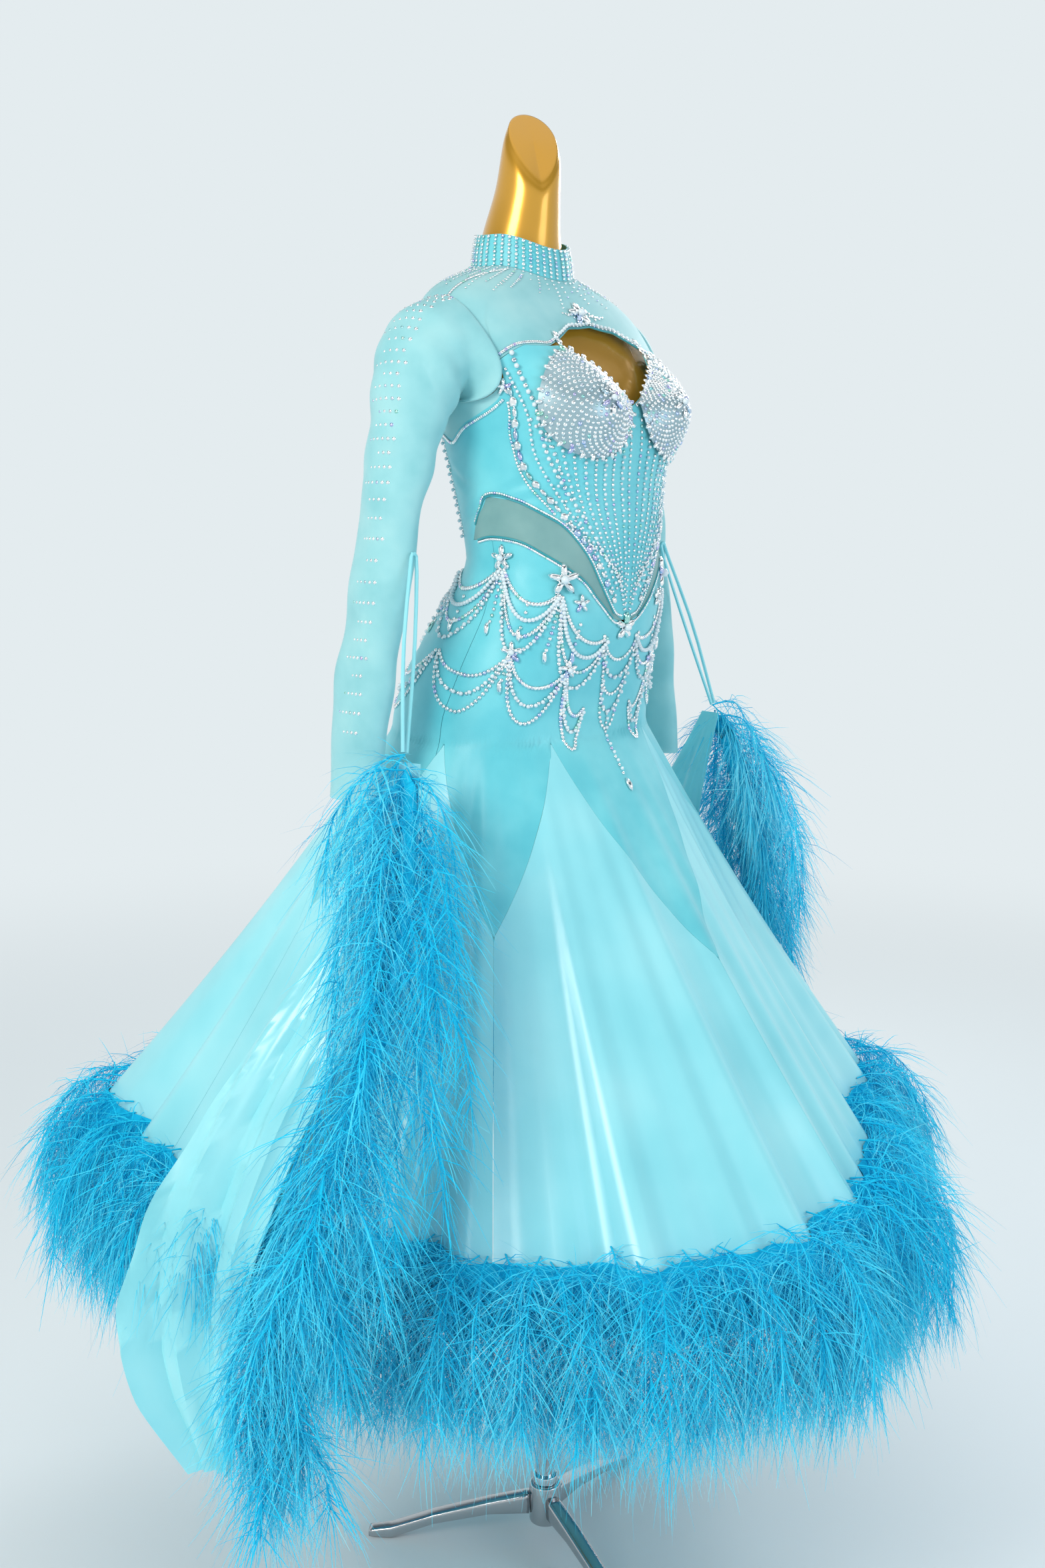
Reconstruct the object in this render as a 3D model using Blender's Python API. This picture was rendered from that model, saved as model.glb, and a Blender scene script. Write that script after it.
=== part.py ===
"""Ballroom gown worn by a limbless dress form on a tripod stand.

Metres, +Z up. The gown's front faces -Y and its wearer's right is -X. Angles around the body are
in degrees from the front, positive towards the wearer's left. A level is the height that a ring
round the body has at its front, which is also its height at the sides below the armpits.
"""

import math

import bmesh
import bpy
from mathutils import Vector

GAP = 0.0003            # between pieces that meet
CLOTH = 0.0015          # wall of the stretch cloth and the mesh
SATIN = 0.0015          # wall of the satin
COLLAR_WALL = 0.002
COLLAR_HEIGHT = 0.036
COLLAR_TAPER = 0.09     # how much narrower the collar is at its top
# level, how far the form's skin lies under the cloth's outer side
FORM_INSETS = ((0.98, 0.009), (1.25, 0.009), (1.305, 0.0026), (1.35, 0.0040), (1.48, 0.005), (1.515, 0.007),
               (1.567, 0.008), (1.590, 0.007), (1.612, 0.006))
FORM_BUST = 0.45        # the form's own bust, as a share of the padded cups'
NECK_INSET = 0.004
ROUNDNESS = 2 / 2.25    # exponent of a slightly squared ellipse
RING_SIDES = 32

BUST = (0.085, 1.487, 0.055, 0.026)     # side offset, height, spread, depth
SKIRT_TOP = 1.10                        # where the cloth leaves the hips
ARMHOLE = (90.0, 30.0, 1.525, 0.040)    # mid angle, half width, mid level, half height
GODET_STEP = 60.0
GODET_FIRST = 31.0
GODET_COLUMNS = 8
SEAM_TURN = 0.22        # half the gap between godets, in degrees
HEM_SHARES = (0.66, 0.33, 0.1, 0.0)     # heights of a godet's rows under the zigzag
TRIM_TOP, TRIM_BOTTOM = 0.030, 0.014    # heights of the feather trim over the hem
TRIM_THICK = 0.0034
# how far each trim stands off its godet, more where the hem twists
TRIM_SEATS = (0.0013, 0.0009, 0.0024, 0.0026, 0.0009, 0.0008)
GODET_ROWS = 5          # rows of a godet beside the zigzag, and as many columns to each side
LOCK_SIDES = 4

POLE_RADIUS = 0.0125
HUB_RADIUS = 0.021
HUB_BOTTOM, HUB_TOP = 0.032, 0.087
LEG_REACH = 0.225
LEG_ANGLES = (-145.0, 97.0, -23.0)
FOOT_LENGTH = 0.030
FORM_BOTTOM = 0.968
CUP_LIFT = 0.0024       # a cup's edge over the bodice's own surface
CUP_X, CUP_Z, CUP_RADIUS = 0.070, 1.487, 0.060
CUP_RISE, CUP_WALL = 0.008, 0.002

# level, side height, back height, centre y, half width, front depth, back depth
BODY = (
    (1.632, 1.648, 1.655, 0.036, 0.058, 0.058, 0.055),
    (1.612, 1.640, 1.640, 0.034, 0.085, 0.074, 0.075),
    (1.590, 1.627, 1.622, 0.030, 0.125, 0.086, 0.088),
    (1.567, 1.606, 1.595, 0.025, 0.160, 0.096, 0.092),
    (1.545, 1.575, 1.565, 0.018, 0.176, 0.104, 0.095),
    (1.515, 1.530, 1.530, 0.005, 0.172, 0.112, 0.100),
    (1.480, 1.480, 1.480, -0.005, 0.154, 0.122, 0.105),
    (1.440, 1.440, 1.440, -0.012, 0.142, 0.119, 0.108),
    (1.400, 1.400, 1.400, -0.018, 0.136, 0.111, 0.106),
    (1.350, 1.350, 1.350, -0.026, 0.131, 0.103, 0.103),
    (1.305, 1.305, 1.305, -0.031, 0.129, 0.096, 0.100),
    (1.250, 1.250, 1.250, -0.026, 0.142, 0.096, 0.138),
    (1.190, 1.190, 1.190, -0.005, 0.158, 0.104, 0.160),
    (1.130, 1.130, 1.130, 0.015, 0.170, 0.108, 0.165),
    (1.060, 1.060, 1.060, 0.020, 0.176, 0.108, 0.170),
    (0.980, 0.980, 0.980, 0.020, 0.178, 0.108, 0.172),
)

# lowest height, highest height, centre y, radius of the form's neck, its slanted cap last
NECK = (
    (1.664, 1.700, 0.035, 0.0465),
    (1.700, 1.752, 0.026, 0.0385),
    (1.728, 1.808, 0.020, 0.0340),
    (1.742, 1.828, 0.018, 0.0290),
)
CAP_TURN = -32.0        # the angle that the neck's slanted cap faces
CAP_ROUND = 0.7         # under 1 rounds the cap's top

# angle, radius, height of the satin hem's lobes and valleys
HEM = (
    (-180, 0.56, 0.60), (-163, 0.53, 0.60), (-143, 0.57, 0.61), (-122, 0.50, 0.60),
    (-100, 0.48, 0.585), (-76, 0.41, 0.57), (-48, 0.46, 0.575), (-22, 0.47, 0.57),
    (6, 0.44, 0.57), (36, 0.39, 0.59), (60, 0.48, 0.59), (88, 0.41, 0.585),
    (112, 0.49, 0.60), (136, 0.43, 0.59), (158, 0.53, 0.60), (180, 0.56, 0.60),
)

# angle, level of each panel edge, the same on both sides of the body
YOKE_EDGE = ((0, 1.577), (14, 1.570), (26, 1.549), (31, 1.5422), (44, 1.5372), (60, 1.5205))
TORSO_ANGLES = (0, 4, 8, 14, 20, 26, 31, 37, 44, 51, 60, 65, 73, 81, 90, 97, 103, 108, 119, 130)
BACK_YOKE_EDGE = ((120, 1.525), (180, 1.500))
BODICE_TOP = ((0, 1.486), (14, 1.512), (26, 1.545), (31, 1.542), (44, 1.537), (60, 1.520),
              (65, 1.497), (73, 1.486), (81, 1.478), (108, 1.448), (130, 1.463))
BODICE_BOTTOM = ((0, 1.238), (8, 1.249), (37, 1.338), (51, 1.358), (73, 1.378), (90, 1.383),
                 (103, 1.350), (108, 1.333), (130, 1.333))
HIP_TOP = ((0, 1.236), (8, 1.243), (31, 1.289), (51, 1.313), (73, 1.333), (90, 1.338),
           (103, 1.334), (108, 1.333), (130, 1.333), (180, 1.290))
WAIST_MESH_SPAN = (8.0, 103.0)
UNDERARM_SPAN = (65.0, 119.0)

# height, distance out, y, half width front to back, half thickness, tilt of the section from level
SLEEVE = (
    (1.535, 0.182, 0.028, 0.056, 0.054, 62),
    (1.500, 0.198, 0.032, 0.053, 0.044, 38),
    (1.450, 0.210, 0.038, 0.047, 0.032, 18),
    (1.375, 0.222, 0.047, 0.041, 0.023, 7),
    (1.260, 0.236, 0.058, 0.041, 0.020, 3),
    (1.155, 0.250, 0.069, 0.040, 0.018, 2),
    (1.040, 0.258, 0.076, 0.036, 0.017, 0),
)
LEFT_SLEEVE_SHIFT = -0.062      # the left sleeve hangs this much further forward at its wrist
SLEEVE_SIDES = 12
SLEEVE_LOWER_ROWS = 4   # rows of the table that the lower half of the sleeve takes

# x, y, z down the middle of each feather float, and of its satin strip with the strip's width
FLOAT_R = ((-0.288, -0.030, 1.105), (-0.335, -0.075, 1.03), (-0.392, -0.116, 0.94),
           (-0.461, -0.141, 0.82), (-0.538, -0.140, 0.70), (-0.585, -0.125, 0.573),
           (-0.590, -0.150, 0.46))
FLOAT_L = ((0.288, -0.060, 1.105), (0.320, -0.075, 1.03), (0.355, -0.070, 0.94),
           (0.420, -0.040, 0.82), (0.500, 0.000, 0.70), (0.560, 0.040, 0.573),
           (0.575, 0.060, 0.46))
STRIP_R = ((-0.2840, -0.0323, 1.096, 0.030), (-0.330, -0.025, 0.93, 0.080),
           (-0.425, 0.000, 0.79, 0.090), (-0.482, 0.025, 0.66, 0.090),
           (-0.515, 0.035, 0.54, 0.070), (-0.525, 0.030, 0.44, 0.050),
           (-0.530, 0.025, 0.345, 0.018))
STRIP_L = ((0.2846, -0.0592, 1.096, 0.030), (0.300, 0.010, 0.93, 0.080),
           (0.385, 0.050, 0.79, 0.090), (0.452, 0.105, 0.66, 0.090),
           (0.500, 0.130, 0.54, 0.070), (0.515, 0.125, 0.44, 0.050),
           (0.525, 0.120, 0.345, 0.018))
FLOAT_HALF = 0.006      # half the side of a float's square backing cord
FLOAT_LOCK_ROWS = 8
TRIM_FACES = 3          # faces of a trim's backing beside each godet column, the middle one with a lock
STRAP_RADIUS = 0.0022
STRAP_TOP = 1.32

# out, down, width, thickness along a hanging feather lock, as shares of its length
LOCK_HIGH = ((0.40, 0.02, 1.25, 1.1), (0.76, 0.46, 0.9, 0.9), (0.86, 1.00, 0.1, 0.2))
LOCK_LOW = ((0.20, 0.22, 1.2, 1.1), (0.36, 0.66, 0.9, 0.9), (0.40, 1.04, 0.1, 0.2))


def table(rows, key):
    """The values of a table's other columns at a key, straight between its rows."""
    rows = sorted(rows)
    if key <= rows[0][0]:
        return rows[0][1:]
    for low, high in zip(rows, rows[1:]):
        if key <= high[0]:
            share = (key - low[0]) / (high[0] - low[0])
            return tuple(a + (b - a) * share for a, b in zip(low[1:], high[1:]))
    return rows[-1][1:]


def eased(rows, key):
    """As table, but rounding each row off into a wave's crest or trough."""
    for low, high in zip(rows, rows[1:]):
        if key <= high[0]:
            share = 0.5 - 0.5 * math.cos(math.pi * (key - low[0]) / (high[0] - low[0]))
            return tuple(a + (b - a) * share for a, b in zip(low[1:], high[1:]))
    return rows[-1][1:]


def smooth_path(points, count):
    """Evenly parted points of a smooth curve through a few."""
    ends = [2 * points[0] - points[1]] + list(points) + [2 * points[-1] - points[-2]]
    found = []
    for k in range(count):
        at = k * (len(points) - 1) / (count - 1)
        i = min(int(at), len(points) - 2)
        t = at - i
        a, b, c, d = ends[i:i + 4]
        found.append(0.5 * (2 * b + (c - a) * t + (2 * a - 5 * b + 4 * c - d) * t * t
                            + (3 * b - a - 3 * c + d) * t ** 3))
    return found


def power(value):
    return math.copysign(abs(value) ** ROUNDNESS, value)


def body_point(angle, level, out=0.0, bust_share=1.0):
    """A point of the worn cloth's outer side on the torso, moved out by a distance."""
    side_z, back_z, centre, half, front, back = table(BODY, level)
    s, c = math.sin(math.radians(angle)), math.cos(math.radians(angle))
    x = (half + out) * power(s)
    y = centre - ((front if c > 0 else back) + out) * power(c)
    z = side_z + ((level if c > 0 else back_z) - side_z) * c * c
    if c > 0:
        bust_x, bust_z, spread, depth = BUST
        for side in (-1, 1):
            reach = ((x - side * bust_x) ** 2 + (z - bust_z) ** 2) / spread ** 2
            y -= bust_share * depth * math.exp(-reach)
    return Vector((x, y, z))


def wrapped(angle):
    return (angle + 180) % 360 - 180


def gown_point(angle, level):
    """A point of the gown's outer side: on the torso, or on the flared skirt under the hips."""
    if level >= SKIRT_TOP:
        return body_point(angle, level)
    radius, hem_z = eased(HEM, wrapped(angle))
    start = body_point(angle, SKIRT_TOP)
    a = math.radians(angle)
    end = Vector((radius * math.sin(a), -radius * math.cos(a), hem_z))
    return start.lerp(end, (SKIRT_TOP - level) / (SKIRT_TOP - hem_z))


def gown_normal(angle, level):
    step = 0.5
    across = gown_point(angle + step, level) - gown_point(angle - step, level)
    down = gown_point(angle, level - 0.004) - gown_point(angle, level + 0.004)
    return down.cross(across).normalized()


def hem_level(angle):
    return eased(HEM, wrapped(angle))[1]


def finish(name, bm, material, smooth_below=40):
    bmesh.ops.recalc_face_normals(bm, faces=bm.faces)
    mesh = bpy.data.meshes.new(name)
    bm.to_mesh(mesh)
    bm.free()
    mesh.shade_smooth()
    mesh.set_sharp_from_angle(angle=math.radians(smooth_below))
    mesh.materials.append(material)
    obj = bpy.data.objects.new(name, mesh)
    bpy.context.scene.collection.objects.link(obj)
    return obj


def cloth_wall(name, outer, normals, wall, material, closed=False):
    """A wall through rows of outer points, its inner side moved in along their normals."""
    bm = bmesh.new()
    front = [[bm.verts.new(p) for p in row] for row in outer]
    back = [[bm.verts.new(p - n * wall) for p, n in zip(row, row_n)]
            for row, row_n in zip(outer, normals)]
    rows, columns = len(outer), len(outer[0])
    spans = columns if closed else columns - 1
    for i in range(rows - 1):
        for j in range(spans):
            k = (j + 1) % columns
            bm.faces.new((front[i][j], front[i][k], front[i + 1][k], front[i + 1][j]))
            bm.faces.new((back[i][j], back[i + 1][j], back[i + 1][k], back[i][k]))
    for i in (0, rows - 1):
        for j in range(spans):
            k = (j + 1) % columns
            bm.faces.new((front[i][j], back[i][j], back[i][k], front[i][k]))
    if not closed:
        for j in (0, columns - 1):
            for i in range(rows - 1):
                bm.faces.new((front[i][j], front[i + 1][j], back[i + 1][j], back[i][j]))
    return finish(name, bm, material)


def panel(name, angles, top, bottom, rows, material, wall=CLOTH, closed=False):
    """A panel of the gown between two edges, each a function from angle to level."""
    outer, normals = [], []
    for i in range(rows + 1):
        levels = [top(a) + (bottom(a) - top(a)) * i / rows for a in angles]
        outer.append([gown_point(a, level) for a, level in zip(angles, levels)])
        normals.append([gown_normal(a, level) for a, level in zip(angles, levels)])
    return cloth_wall(name, outer, normals, wall, material, closed)


def spread(low, high, count):
    return [low + (high - low) * k / count for k in range(count + 1)]


def seam(edge, shift):
    """An edge table as a function of the angle, moved up or down by half a seam's gap."""
    return lambda angle: table(edge, abs(wrapped(angle)))[0] + shift


def armhole_level(angle, side):
    """Level of the armhole's edge at an angle: side 1 is its upper half, -1 its lower."""
    mid, half_width, level, half_height = ARMHOLE
    share = min(1.0, abs(abs(wrapped(angle)) - mid) / half_width)
    return level + side * half_height * math.sqrt(1 - share * share)


def yoke_bottom(angle):
    turned = abs(wrapped(angle))
    mid, half_width = ARMHOLE[:2]
    if turned < mid - half_width:
        return table(YOKE_EDGE, turned)[0] + GAP
    if turned > mid + half_width:
        return table(BACK_YOKE_EDGE, turned)[0]
    return armhole_level(angle, 1)


def zigzag(angle):
    """Lower edge of the hip panels: peaks over the godets and points between them."""
    turn = (wrapped(angle) - GODET_FIRST) / GODET_STEP
    share = abs(turn - round(turn)) * 2
    low = 0.850 if abs(wrapped(angle)) < GODET_FIRST else 0.900
    return 1.100 + (low - 1.100) * share


def form_point(angle, level, inset):
    """A point of the form's skin, set in under the torso's surface along its normal."""
    def skin(turn, height):
        return body_point(turn, height, 0, FORM_BUST)

    across = skin(angle + 1, level) - skin(angle - 1, level)
    down = skin(angle, level - 0.006) - skin(angle, level + 0.006)
    return skin(angle, level) - down.cross(across).normalized() * inset


def make_form(gold):
    """The solid form: rings from the slanted neck cap to the flat underside."""
    bm = bmesh.new()
    rings = []
    for front_z, back_z, centre, radius in reversed(NECK):
        ring = []
        for k in range(RING_SIDES):
            a = 2 * math.pi * k / RING_SIDES
            c = math.cos(a)
            turned = math.cos(a - math.radians(CAP_TURN))
            z = front_z + (back_z - front_z) * (0.5 - 0.5 * turned) ** CAP_ROUND
            ring.append(bm.verts.new((radius * math.sin(a), centre - radius * c, z)))
        rings.append(ring)
    around = spread(0, 360, RING_SIDES)[:-1]
    for row in BODY:
        inset = table(FORM_INSETS, row[0])[0]
        if row is BODY[0]:
            ring = [body_point(a, row[0], -NECK_INSET) for a in around]
        else:
            ring = [form_point(a, row[0], inset) for a in around]
        rings.append([bm.verts.new(p) for p in ring])
    last = BODY[-1]
    rings.append([bm.verts.new((0.9 * v.co.x, last[3] + 0.9 * (v.co.y - last[3]), FORM_BOTTOM))
                  for v in rings[-1]])
    for above, below in zip(rings, rings[1:]):
        for k in range(RING_SIDES):
            j = (k + 1) % RING_SIDES
            bm.faces.new((above[k], above[j], below[j], below[k]))
    bm.faces.new(rings[0])
    bm.faces.new(reversed(rings[-1]))
    finish("dress_form", bm, gold, 50)


def make_stand(chrome, steel):
    """A pole up to the form, a hub on it and three arched legs with flat feet."""
    for name, radius, sides, low, high, finish_of in (
            ("form_pole", POLE_RADIUS, 24, HUB_TOP + GAP / 2, FORM_BOTTOM - GAP / 2, chrome),
            ("stand_hub", HUB_RADIUS, 30, HUB_BOTTOM, HUB_TOP - GAP, steel)):
        bpy.ops.mesh.primitive_cylinder_add(vertices=sides, radius=radius, depth=high - low,
                                            location=(0, 0, (low + high) / 2))
        upright = bpy.context.object
        upright.name = name
        upright.data.materials.append(finish_of)
    # reach, middle height, width, height of a leg's sections
    sections = ((HUB_RADIUS + GAP, 0.058, 0.022, 0.030), (0.075, 0.050, 0.022, 0.020),
                (0.150, 0.031, 0.021, 0.015), (LEG_REACH - 0.018, 0.010, 0.020, 0.016),
                (LEG_REACH + 0.012, 0.006, 0.018, 0.012))
    for number, angle in enumerate(LEG_ANGLES, 1):
        bm = bmesh.new()
        a = math.radians(angle)
        along = Vector((math.sin(a), -math.cos(a), 0))
        across = Vector((-along.y, along.x, 0))
        rings = []
        for reach, z, width, height in sections:
            low = 0.0 if reach > LEG_REACH - FOOT_LENGTH else z - height / 2
            corners = ((-1, low), (1, low), (1, z + height / 2), (-1, z + height / 2))
            rings.append([bm.verts.new(along * reach + across * side * width / 2 + Vector((0, 0, cz)))
                          for side, cz in corners])
        for near, far in zip(rings, rings[1:]):
            for k in range(4):
                j = (k + 1) % 4
                bm.faces.new((near[k], near[j], far[j], far[k]))
        bm.faces.new(rings[0])
        bm.faces.new(reversed(rings[-1]))
        finish(f"stand_leg_{number}", bm, steel, 30)


def make_collar(lycra):
    angles = spread(0, 360, RING_SIDES)[:-1]
    centre = BODY[0][3]
    outer, normals = [], []
    for share in (1.0, 0.5, 0.0):
        narrowed = 1 - COLLAR_TAPER * share
        ring = []
        for a in angles:
            p = body_point(a, BODY[0][0])
            ring.append(Vector((p.x * narrowed, centre + (p.y - centre) * narrowed,
                                p.z + COLLAR_HEIGHT * share + GAP)))
        outer.append(ring)
        normals.append([Vector((math.sin(math.radians(a)), -math.cos(math.radians(a)), 0))
                        for a in angles])
    cloth_wall("collar", outer, normals, COLLAR_WALL, lycra, closed=True)


def make_bodice(lycra, mesh_cloth, stones):
    around = [a for a in TORSO_ANGLES if a < 125 and a not in (4, 14)] + spread(132, 180, 4)
    angles = [-a for a in reversed(around[1:])] + around[:-1]
    panel("yoke", angles, lambda a: BODY[0][0], yoke_bottom, 5, mesh_cloth, closed=True)
    both = [-a for a in reversed(TORSO_ANGLES[1:])] + list(TORSO_ANGLES)
    panel("bodice", both, seam(BODICE_TOP, -GAP / 2), seam(BODICE_BOTTOM, GAP / 2), 7, lycra)
    for side, tag in ((-1, "r"), (1, "l")):
        low, high = WAIST_MESH_SPAN
        panel(f"waist_mesh_{tag}", [side * a for a in TORSO_ANGLES if low <= a <= high],
              seam(BODICE_BOTTOM, -GAP), seam(HIP_TOP, GAP), 2, mesh_cloth)
        low, high = UNDERARM_SPAN
        panel(f"underarm_mesh_{tag}", [side * a for a in TORSO_ANGLES if low <= a <= high],
              lambda a: armhole_level(a, -1), seam(BODICE_TOP, GAP), 2, mesh_cloth)
        make_cup(f"cup_{tag}", side, stones)


def on_front(x, z):
    """The point and normal of the torso's front at a side offset and a height."""
    angle, level = math.degrees(math.asin(max(-1, min(1, x / 0.15)))), z
    for _ in range(12):
        p = body_point(angle, level)
        angle += (x - p.x) * 300
        level += (z - p.z) * 0.8
    return body_point(angle, level), gown_normal(angle, level)


def make_cup(name, side, stones):
    """A stone-covered cup: a low dome on the bust, cut off along the opening's edge."""
    corner, point = (0.084, 1.551), (0.004, 1.487)
    edge_x, edge_z = corner[0] - point[0], corner[1] - point[1]
    length = math.hypot(edge_x, edge_z)
    inward = (-edge_z / length, edge_x / length)
    distance = (corner[0] - CUP_X) * inward[0] + (corner[1] - CUP_Z) * inward[1]
    lift = CUP_LIFT - (0.0002 if side > 0 else 0)
    sides = 16
    front, back = [], []
    bm = bmesh.new()
    for share in (0.08, 0.45, 0.8, 1.0):
        outer, inner = [], []
        for k in range(sides):
            a = 2 * math.pi * k / sides
            dx, dz = math.cos(a), math.sin(a)
            radius = CUP_RADIUS
            toward = dx * inward[0] + dz * inward[1]
            if toward > 0:
                radius = min(radius, (distance - 0.001) / toward)
            p, n = on_front(side * (CUP_X + dx * radius * share), CUP_Z + dz * radius * share)
            rise = CUP_RISE * (1 - share ** 2.4)
            outer.append(bm.verts.new(p + n * (lift + CUP_WALL + rise)))
            inner.append(bm.verts.new(p + n * (lift + rise * 0.3)))
        front.append(outer)
        back.append(inner)
    for rows in (front, back):
        for near, far in zip(rows, rows[1:]):
            for k in range(sides):
                j = (k + 1) % sides
                bm.faces.new((near[k], near[j], far[j], far[k]))
        bm.faces.new(rows[0])
    for k in range(sides):
        j = (k + 1) % sides
        bm.faces.new((front[-1][k], front[-1][j], back[-1][j], back[-1][k]))
    finish(name, bm, stones)


def make_skirt(lycra, satin):
    """Two hip panels with a zigzag lower edge and six satin godets that fan out under it."""
    half = GODET_STEP / 2 / GODET_ROWS
    for name, low, high in (("hip_front", -91, 91), ("hip_back", 91, 269)):
        angles = {low + 0.1, high - 0.1}
        steps = [GODET_FIRST + half * k for k in range(-40, 41)]
        angles |= {a for a in steps if low < a < high}
        angles |= {wrapped(s * a) % 360 if low > 0 else s * a for a in TORSO_ANGLES for s in (-1, 1)}
        keys = sorted(a for a in angles if low < a < high)
        keys = [a for a, b in zip(keys, keys[1:] + [999]) if b - a > 0.05]
        panel(name, keys, seam(HIP_TOP, -GAP / 2), lambda a: zigzag(a) + GAP, 4, lycra)
    for number in range(6):
        middle = GODET_FIRST + GODET_STEP * number
        make_godet(f"godet_{number + 1}", middle, satin)


def godet_levels(middle, share_across, row):
    """Angle and level of a godet's grid point: beside the zigzag first, then down to the hem."""
    half = GODET_STEP / 2
    reach = min(row, GODET_ROWS) / GODET_ROWS
    turn = max(half * reach, 1.1) - SEAM_TURN
    left, right = middle - turn, middle + turn
    angle = left + (right - left) * share_across
    edge = [zigzag(a) for a in (left, right)]
    level = edge[0] + (edge[1] - edge[0]) * share_across - GAP - 0.0016
    if row > GODET_ROWS:
        hem = hem_level(angle)
        level = hem + (level - hem) * HEM_SHARES[row - GODET_ROWS - 1]
        if row == GODET_ROWS + len(HEM_SHARES) - 1:
            level = hem + TRIM_TOP + 0.004
    return angle, level


def make_godet(name, middle, satin):
    outer, normals = [], []
    for row in range(GODET_ROWS + len(HEM_SHARES) + 1):
        keys = [godet_levels(middle, j / GODET_COLUMNS, row) for j in range(GODET_COLUMNS + 1)]
        outer.append([gown_point(*key) for key in keys])
        normals.append([gown_normal(*key) for key in keys])
    cloth_wall(name, outer, normals, SATIN, satin)


def make_sleeve(tag, side, mesh_cloth):
    """A hanging empty sleeve lofted from the armhole to the wrist, seamed under its upper arm."""
    mid, half_width, level, half_height = ARMHOLE
    count = SLEEVE_SIDES
    turns = [2 * math.pi * k / count for k in range(count)]
    hole = []
    for t in turns:
        angle = side * (mid + half_width * math.sin(t))
        p = body_point(angle, level + half_height * math.cos(t))
        hole.append(p)
    centre = sum(hole, Vector()) / count
    rings = [[centre + (p - centre) * 0.985 + Vector((side * 0.0016, 0, 0)) for p in hole]]
    rings.append([centre + (p - centre) * 1.01 + Vector((side * 0.008, 0, 0.001)) for p in hole])
    for number, (z, out, y, wide, thick, tilt) in enumerate(SLEEVE):
        if side > 0:
            y += LEFT_SLEEVE_SHIFT * (SLEEVE[0][0] - z) / (SLEEVE[0][0] - SLEEVE[-1][0])
        up = Vector((side * math.cos(math.radians(tilt)), 0, math.sin(math.radians(tilt))))
        middle = Vector((side * out, y, z))
        rings.append([middle + Vector((0, wide * math.sin(t), 0)) + up * thick * math.cos(t)
                      for t in turns])
    outer, normals = [], []
    for ring in rings:
        middle = sum(ring, Vector()) / count
        outer.append(ring)
        normals.append([(p - middle).normalized() for p in ring])
    seam_row = len(outer) - SLEEVE_LOWER_ROWS
    cloth_wall(f"sleeve_{tag}", outer[:seam_row + 1], normals[:seam_row + 1], CLOTH, mesh_cloth,
               closed=True)
    outer[seam_row] = [p - Vector((0, 0, GAP)) for p in outer[seam_row]]
    cloth_wall(f"sleeve_lower_{tag}", outer[seam_row:], normals[seam_row:], CLOTH, mesh_cloth,
               closed=True)


def grow_lock(bm, face, across, out, down, length, shape):
    """Draws one face of a backing out into a tapering lock that arches out and hangs."""
    root = face.calc_center_median()
    corners = list(face.verts)
    first_up = out.cross(across)
    flat = [((v.co - root).dot(across), (v.co - root).dot(first_up)) for v in corners]
    square = ((-1, -1), (1, -1), (1, 1), (-1, 1))
    turns = [[square[(start + way * k) % 4] for k in range(4)]
             for start in range(4) for way in (1, -1)]
    signs = max(turns, key=lambda turn: sum(x * s + y * u for (x, y), (s, u) in zip(flat, turn)))
    width = sum(abs(x) for x, _ in flat) / 4
    height = max(sum(abs(y) for _, y in flat) / 4, 0.003)
    bm.faces.remove(face)
    previous, last = corners, root
    for step_out, step_down, wide, thick in shape:
        point = root + out * step_out * length + down * step_down * length
        direction = (point - last).normalized()
        up = direction.cross(across).normalized()
        ring = [bm.verts.new(point + across * s * width * wide + up * u * height * thick)
                for s, u in signs]
        for k in range(LOCK_SIDES):
            j = (k + 1) % LOCK_SIDES
            bm.faces.new((previous[k], previous[j], ring[j], ring[k]))
        previous, last = ring, point
    bm.faces.new(previous)


def hem_wall(low, high, angle, height):
    """Point and normal of a godet's flat facets at a height over its hem."""
    start = low + SEAM_TURN
    span = (high - low - 2 * SEAM_TURN) / GODET_COLUMNS
    column = min(max(int((angle - start) / span), 0), GODET_COLUMNS - 1)
    near, far = start + span * column, start + span * (column + 1)
    share = (angle - near) / span
    points = [gown_point(a, hem_level(a) + height) for a in (near, far)]
    normals = [gown_normal(a, hem_level(a) + height) for a in (near, far)]
    return points[0].lerp(points[1], share), normals[0].lerp(normals[1], share).normalized()


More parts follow.
